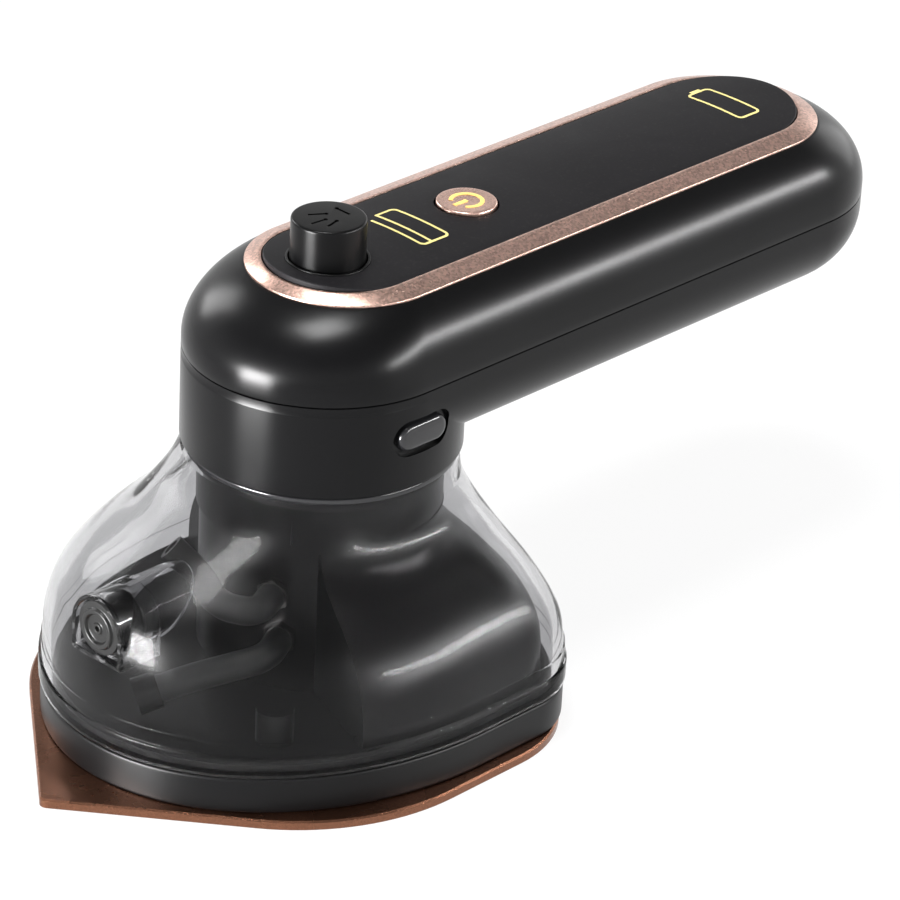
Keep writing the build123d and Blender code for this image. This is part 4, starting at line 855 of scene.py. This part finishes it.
class STEAMER_OT_top_trim(bpy.types.Operator):
    """Bevelled trim ring and the panel inside it. The ring is one loop of the handle's plan: a thin
    outer edge, a slope up to the inner edge and a wall down; the panel is a low block with a soft edge."""
    bl_idname = "steamer.top_trim"
    bl_label = "Top trim"

    def execute(self, context):
        colours = settings().colours
        inset = CROWN_IN * (1 - math.cos(math.radians(CROWN_ANGLE)))
        out = (TURRET_R - inset, CROWN_FRONT * inset, HANDLE_L - CROWN_FAR * inset)
        inn = (TRIM_IN_HALF, TRIM_FRONT, HANDLE_L - TRIM_FRONT)
        z, rim = ROOF_Z, ROOF_Z + TRIM_H
        loop = [(z, *inn), (z, *out), (z + TRIM_EDGE, *out), (rim, inn[0] + TRIM_LIP, *inn[1:]), (rim, *inn)]
        rows = rounded(loop, [0.02, 0.06, 0.12, 0.15, 0.12], 4, closed=True)
        ring = make_piece("trim_frame", stadium_rows(rows), loop=True, sharp=28)
        rose = flaked_metal("Rose trim lacquer", tuple(colours.rose), 0.3, scale=2600, contrast=0.55,
                            tilt=0.5)
        finish_piece(ring, "handle", "rose_metal", rose, "trim_ring")

        half = inn[0] - 0.2
        top = PANEL_Z - PRINT_LIFT
        rows = rounded([(z, half, *inn[1:]), (top, half, *inn[1:]), (top, half - 1.5, *inn[1:])], [0.3], 6)
        across = [(top, h, *inn[1:]) for h in np.linspace(half - 2.5, 0.05, 12)]
        panel = make_piece("panel", arched(stadium_rows(np.vstack([rows, across])), ROOF_Z + 0.5), sharp=40)
        for r, x in ((KNOB_HOLE_R + 0.5, 0.0), (KEY_HOLE_R, KEY_X)):
            carve(panel, rod(r, 70, 90, x=x), sharp=40)
        soft = plastic("Matte panel", tuple(colours.panel), 0.5, gloss=0.1, grain=0.2, scale=6000, dust=0.02,
                       smear=0.14)
        finish_piece(panel, "handle", "panel_black", soft, "top_panel")
        ink = printed("Symbol print", tuple(colours.symbol))
        dress(ink, "heat_icon", "cell_icon")
        return {"FINISHED"}


class STEAMER_OT_controls(bpy.types.Operator):
    """Steam knob, its bezel, the power button and the release button: turned forms and one oblong cap,
    with the steam symbol cut into the knob's top."""
    bl_idname = "steamer.controls"
    bl_label = "Controls"

    def execute(self, context):
        colours = settings().colours
        top, skirt = 88.9, 77.6
        profile = rounded([(5.0, skirt), (KNOB_R, skirt), (KNOB_R, top), (0.1, top)], [0.15, 0.55], 7)
        knob = make_piece("steam_knob", turned_rows(profile, 128), sharp=40)
        carve(knob, rod(5.0, skirt - 1, top - 3.0, 64), sharp=40)
        carve(knob, rod(1.95, 80.6, top - 2.5, 32), "UNION", sharp=40)
        floor = top - SYMBOL_DEPTH
        for line in (*JETS, NOZZLE):
            carve(knob, stroke_tool(line, 0.5, floor, top + 1), sharp=40)
            carve(knob, rod(0.4, floor, top + 1, 24, *line[0]), sharp=40)
        satin = plastic("Satin black control", shade(colours.shell, 0.6), 0.3, gloss=0.16, grain=0.1,
                        scale=5200, dust=0.004, wear=0.25, wear_colour=(0.05, 0.05, 0.05), drawn=0.7)
        finish_piece(knob, "plunger", "control_black", satin, "steam_button")

        rim = KNOB_HOLE_R + 0.45
        loop = [(KNOB_HOLE_R, ROOF_Z), (rim, ROOF_Z), (rim, PANEL_Z + 0.2), (KNOB_HOLE_R, PANEL_Z + 0.2)]
        rows = turned_rows(rounded(loop, [0.05, 0.05, 0.12, 0.12], 4, closed=True), 128)
        bezel = make_piece("knob_bezel", arched(rows, ROOF_Z + 0.5), loop=True, sharp=40)
        finish_piece(bezel, "handle", "control_black", satin, "button_bezel")

        under, cap = 76.75, PANEL_Z + 0.5 - PRINT_LIFT
        loop = [(0.1, 75.2), (1.6, 75.2), (1.6, under - 0.7), (6.4, under - 0.7), (6.4, under), (5.3, under),
                (5.3, cap), (4.3, cap), (0.1, cap - 0.12)]
        loop = rounded(loop, [0.1, 0.1, 0.1, 0.1, 0.1, 0.4, 0.3], 6)
        power = make_piece("power_key", turned_rows(loop, 128, KEY_X), sharp=40)
        rose = flaked_metal("Rose button lacquer", shade(colours.rose, 1.15), 0.28, scale=3600,
                            contrast=0.35, tilt=0.3)
        finish_piece(power, "power_key", "rose_metal", rose, "power_button")
        dress(printed("Power symbol print", (1.0, 0.72, 0.2)), "power_mark")

        front, back = -TURRET_R - 0.1, -TURRET_R + SHELL_WALL + 1.6
        rows = [(back, 0), (front + 0.9, 0), (front + 0.6, 0.05), (front + 0.3, 0.22), (front + 0.1, 0.45),
                (front, 0.9)]
        pill = make_piece("release_cap", pill_rows(*RELEASE_CAP, rows), turn=RELEASE_TURN, sharp=40)
        gloss = plastic("Gloss black", GLOSS_BLACK, 0.16, gloss=0.5, grain=0.02, dust=0.02, smear=0.06)
        finish_piece(pill, "release", "gloss_black", gloss, "release_button")
        return {"FINISHED"}


JETS = [((0.4, 1.1), (-2.2, 2.8)), ((-1.2, -0.4), (-4.2, -0.1)), ((-0.2, -2.0), (-2.8, -2.6))]
NOZZLE = ((3.2, 1.5), (3.2, -1.6))


def stroke_tool(points, width, z0, z1):
    """Bar that follows a bent line: the line offset by half the width to each side along the corner
    bisectors, between two heights."""
    p = np.asarray(points, float)
    run = np.diff(p, axis=0)
    run /= np.linalg.norm(run, axis=1, keepdims=True)
    across = np.column_stack([-run[:, 1], run[:, 0]])
    corner = np.vstack([across[:1], across[:-1] + across[1:], across[-1:]])
    corner /= (corner * np.vstack([across, across[-1:]])).sum(1, keepdims=True)
    outline = np.vstack([p + corner * width / 2, (p - corner * width / 2)[::-1]])
    grid = np.array([np.column_stack([outline, np.full(len(outline), z)]) for z in (z0, z1)])
    return make_piece("stroke", grid)


class STEAMER_OT_swivel(bpy.types.Operator):
    """Glossy ring on the tank's neck, a turned loop, and the dark parts of the joint inside it."""
    bl_idname = "steamer.swivel"
    bl_label = "Swivel"

    def execute(self, context):
        low, top, out = NECK_Z, NECK_Z + 1.0, NECK_OUT + 0.1
        loop = [(NECK_IN, low), (out, low), (out, top), (NECK_IN, top)]
        loop = rounded(loop, [0.1, 0.1, 0.35, 0.2], 5, closed=True)
        ring = make_piece("neck_ring", turned_rows(loop, 192), loop=True, sharp=40)
        gloss = plastic("Gloss neck ring", GLOSS_BLACK, 0.14, gloss=0.5, grain=0.02, dust=0.0, smear=0.05)
        finish_piece(ring, "head", "gloss_black", gloss, "swivel_ring")
        dark = plastic("Dark working plastic", (0.05, 0.05, 0.052), 0.5, grain=0.2)
        dress(dark, "swivel_tower", "retainer_ring", "latch_slider", "terminal_block", "cell_holder")
        return {"FINISHED"}


class STEAMER_OT_base(bpy.types.Operator):
    """Base ring, one loop of the head's plan with soft edges, and the copper-coloured sole plate."""
    bl_idname = "steamer.base"
    bl_label = "Base and sole"

    def execute(self, context):
        colours = settings().colours
        out = np.array(BASE_PLAN)
        inn = out - 2.4
        low, top = BASE_Z
        loop = rounded([(low, *inn, 1), (low, *out, 1), (top, *out, 1), (top, *inn, 1)],
                       [0.1, 0.7, 0.7, 0.1], 5, closed=True)
        ring = make_piece("base_band", egg_rows(loop), loop=True, sharp=40)
        satin = plastic("Satin base ring", tuple(colours.shell), 0.36, gloss=0.2, grain=0.15, scale=5200,
                        dust=0.005, wear=0.2, wear_colour=(0.03, 0.03, 0.03), drawn=0.8)
        finish_piece(ring, "head", "shell_black", satin, "base_ring")
        copper = flaked_metal("Copper sole lacquer", tuple(colours.copper), 0.27, scale=5200, contrast=0.35,
                              tilt=0.25, wear=0.05)
        dress(copper, "sole_plate")
        return {"FINISHED"}


class STEAMER_OT_core(bpy.types.Operator):
    """Black housing inside the tank: its CAD form with a satin finish, and the pump's plastics."""
    bl_idname = "steamer.core"
    bl_label = "Core"

    def execute(self, context):
        black = plastic("Core housing", (0.0015, 0.0015, 0.0016), 0.3, gloss=0.42, grain=0.0, dust=0.0,
                        smear=0.03)
        dress(black, "core_housing")
        pale = plastic("Natural working plastic", (0.62, 0.62, 0.58), 0.4, grain=0.1)
        dress(pale, "pump_cylinder", "valve_block", "pump_piston", "pump_rod", "bearing_washer")
        return {"FINISHED"}


class STEAMER_OT_hoses(bpy.types.Operator):
    """Silicone hoses in the tank, their fittings and sinker, and the feed tube to the heater."""
    bl_idname = "steamer.hoses"
    bl_label = "Hoses"

    def execute(self, context):
        dress(soft_tube("Silicone hose", (0.07, 0.07, 0.07)), "suction_hose", "vent_hose", "feed_tube")
        dress(flaked_metal("Fitting metal", (0.3, 0.29, 0.28), 0.25, scale=1200, contrast=0.2, tilt=0.1),
              "hose_fittings")
        dress(flaked_metal("Weight metal", (0.03, 0.03, 0.03), 0.4, scale=1200, contrast=0.2, tilt=0.1),
              "suction_weight")
        return {"FINISHED"}


class STEAMER_OT_inner_parts(bpy.types.Operator):
    """Finishes of the parts inside: heater, seals, cells, boards, guides and fasteners."""
    bl_idname = "steamer.inner_parts"
    bl_label = "Inner parts"

    def execute(self, context):
        dress(flaked_metal("Cast heater", (0.6, 0.6, 0.61), 0.45, scale=900, contrast=0.2), "heater_block")
        steel = brushed_metal("Bright steel", (0.55, 0.55, 0.57), 0.28)
        dress(steel, "heating_element", "chamber_cover", "thermostat_clip", "base_screws", "tower_screws",
              "retainer_screws", "case_screws", "pump_spring", "release_spring", "valve_balls",
              "heat_shield", "cell_tabs", "charge_socket")
        dress(plastic("Seal rubber", (0.02, 0.02, 0.02), 0.5, gloss=0.4, grain=0.2, scale=2500),
              "chamber_gasket", "tank_seal", "neck_seal", "piston_seal")
        dress(flaked_metal("Plated sensor", (0.5, 0.44, 0.32), 0.35, scale=1500, contrast=0.2), "thermostat",
              "thermal_fuse")
        dress(plastic("Cell wrap", (0.03, 0.12, 0.3), 0.3, gloss=0.5, grain=0.05), "battery_cans")
        dress(plastic("Cell filling", (0.1, 0.1, 0.1), 0.6), "battery_cores")
        dress(plastic("Board resin", (0.01, 0.11, 0.03), 0.35, gloss=0.5, grain=0.1, scale=1800),
              "main_board", "charge_board")
        dress(plastic("Chip resin", (0.02, 0.02, 0.02), 0.5, grain=0.3, scale=3000),
              "board_parts", "tact_switch")
        dress(clear_wall("Light guide", (0.9, 0.9, 0.9)), "light_guides")
        return {"FINISHED"}


class STEAMER_OT_studio(bpy.types.Operator):
    """Pale floor, white surroundings, soft lamps and the camera."""
    bl_idname = "steamer.studio"
    bl_label = "Studio"

    def execute(self, context):
        studio = settings().studio
        self.floor()
        self.surroundings(studio.soft_level)
        level = studio.lamp_level
        target = Vector((0.02, 0.0, 0.045))
        lamps = [("Right strip", (0.56, -0.88, 0.42), (0.95, 0.08), 17 * level),
                 ("Front card", (-0.46, 0.06, 0.055), (0.2, 0.2), 12 * level),
                 ("Left soft box", (0.0, 0.93, 0.50), (0.28, 0.5), 4 * level),
                 ("Top soft box", (-0.10, 0.04, 1.0), (0.3, 0.3), 9 * level),
                 ("Rear soft box", (0.96, 0.1, 0.22), (0.4, 0.4), 0.8 * level)]
        for name, place, size, power in lamps:
            self.lamp(name, Vector(place), target, size, power)
        self.camera(studio)
        scene = bpy.context.scene
        scene.view_settings.view_transform = "Standard"
        return {"FINISHED"}

    def floor(self):
        """Square sheet 6 m wide at the height of the table. It glows a little where it is seen."""
        half, tone, glow_share = 3, 0.82, 0.86
        side = np.array([[-half, -half, 0], [half, -half, 0], [half, half, 0], [-half, half, 0]], float)
        mesh = bpy.data.meshes.new("table_top")
        mesh.from_pydata(side - np.array([0, 0, 0.0001]), [], [[0, 1, 2, 3]])
        obj = bpy.data.objects.new("table_top", mesh)
        bpy.context.scene.collection.objects.link(obj)
        mat = bpy.data.materials.new("Pale table")
        mat.use_nodes = True
        tree = mat.node_tree
        tree.nodes.clear()
        out = add_node(tree, "OutputMaterial")
        blend = add_node(tree, "MixShader")
        matt = add_node(tree, "BsdfDiffuse", Color=(tone, tone, tone, 1))
        glow = add_node(tree, "Emission", Strength=1.0)
        seen = self.seen_directly(tree)
        part = math_node(tree, "MULTIPLY", None, glow_share)
        tree.links.new(seen, part.inputs[0])
        join(part, "Value", blend, "Fac")
        join(matt, "BSDF", blend, 1)
        join(glow, "Emission", blend, 2)
        join(blend, "Shader", out, "Surface")
        mesh.materials.append(mat)

    def seen_directly(self, tree):
        """1 for camera, glossy and transmission rays."""
        path = add_node(tree, "LightPath")
        total = path.outputs["Is Camera Ray"]
        for label in ("Is Glossy Ray", "Is Transmission Ray"):
            more = math_node(tree, "ADD", clamp=True)
            tree.links.new(total, more.inputs[0])
            join(path, label, more, 1)
            total = more.outputs["Value"]
        return total

    def surroundings(self, level):
        """White all round for what is seen, with a ceiling that gets darker from 0.25 to 0.7 of the
        height; even light of the given level."""
        world = bpy.data.worlds.new("Studio")
        world.use_nodes = True
        bpy.context.scene.world = world
        tree = world.node_tree
        back = tree.nodes["Background"]
        seen = self.seen_directly(tree)
        span = add_node(tree, "MapRange", To_Min=level, To_Max=1.0)
        tree.links.new(seen, span.inputs["Value"])
        join(span, "Result", back, "Strength")
        place = add_node(tree, "TexCoord")
        parts = add_node(tree, "SeparateXYZ")
        rise = add_node(tree, "MapRange", interpolation_type="SMOOTHSTEP", From_Min=0.25,
                        From_Max=0.7, To_Min=1.0, To_Max=0.25)
        join(place, "Object", parts, "Vector")
        join(parts, "Z", rise, "Value")
        join(rise, "Result", back, "Color")

    def lamp(self, name, place, target, size, power):
        """Flat oblong lamp that looks at the target."""
        data = bpy.data.lights.new(name, "AREA")
        data.shape = "RECTANGLE"
        data.size, data.size_y = size
        data.energy = power
        obj = bpy.data.objects.new(name, data)
        bpy.context.scene.collection.objects.link(obj)
        obj.location = place
        obj.rotation_euler = (target - place).to_track_quat("-Z", "Y").to_euler()

    def camera(self, studio):
        """Camera from its place, heading, dip and roll."""
        data = bpy.data.cameras.new("Camera")
        data.lens = studio.lens
        data.sensor_width = 36.0
        data.clip_start, data.clip_end = 0.01, 20
        ahead = Vector((math.cos(studio.heading) * math.cos(studio.dip),
                        math.sin(studio.heading) * math.cos(studio.dip), -math.sin(studio.dip)))
        right = Vector((math.sin(studio.heading), -math.cos(studio.heading), 0))
        up = right.cross(ahead)
        c, s = math.cos(studio.roll), math.sin(studio.roll)
        axes = (c * right + s * up, -s * right + c * up, -ahead)
        place = Vector(studio.place)
        obj = bpy.data.objects.new("Camera", data)
        rows = [[axes[0][i], axes[1][i], axes[2][i], place[i]] for i in range(3)]
        obj.matrix_world = Matrix([*rows, [0, 0, 0, 1]])
        bpy.context.scene.collection.objects.link(obj)
        bpy.context.scene.camera = obj


class SteamerSettings(bpy.types.PropertyGroup):
    """All settings of the steamer."""
    colours: bpy.props.PointerProperty(type=SteamerColours, name="Colours", description="Outer colours")
    tank: bpy.props.PointerProperty(type=SteamerTank, name="Tank", description="Sizes of the tank")
    studio: bpy.props.PointerProperty(type=SteamerStudio, name="Studio", description="Camera and lamps")


BUILD_STEPS = [STEAMER_OT_studio, STEAMER_OT_tank, STEAMER_OT_filling_neck, STEAMER_OT_handle_shells,
               STEAMER_OT_top_trim, STEAMER_OT_controls, STEAMER_OT_swivel, STEAMER_OT_base, STEAMER_OT_core,
               STEAMER_OT_hoses, STEAMER_OT_inner_parts]


class STEAMER_PT_panel(bpy.types.Panel):
    """Sidebar panel with all settings and one button for each build step."""
    bl_idname = "STEAMER_PT_panel"
    bl_label = "Garment steamer"
    bl_space_type = "VIEW_3D"
    bl_region_type = "UI"
    bl_category = "Steamer"

    def draw(self, context):
        for group in ("colours", "tank", "studio"):
            box = self.layout.box()
            data = getattr(context.scene.steamer, group)
            for key in data.__annotations__:
                box.prop(data, key)
        for step in BUILD_STEPS:
            self.layout.operator(step.bl_idname)


CLASSES = [SteamerColours, SteamerTank, SteamerStudio, SteamerSettings, *BUILD_STEPS, STEAMER_PT_panel]


def register():
    for item in CLASSES:
        bpy.utils.register_class(item)
    bpy.types.Scene.steamer = bpy.props.PointerProperty(type=SteamerSettings)


def unregister():
    del bpy.types.Scene.steamer
    for item in reversed(CLASSES):
        bpy.utils.unregister_class(item)


def main():
    register()
    for step in BUILD_STEPS:
        group, name = step.bl_idname.split(".")
        getattr(getattr(bpy.ops, group), name)()


if __name__ == "__main__":
    main()
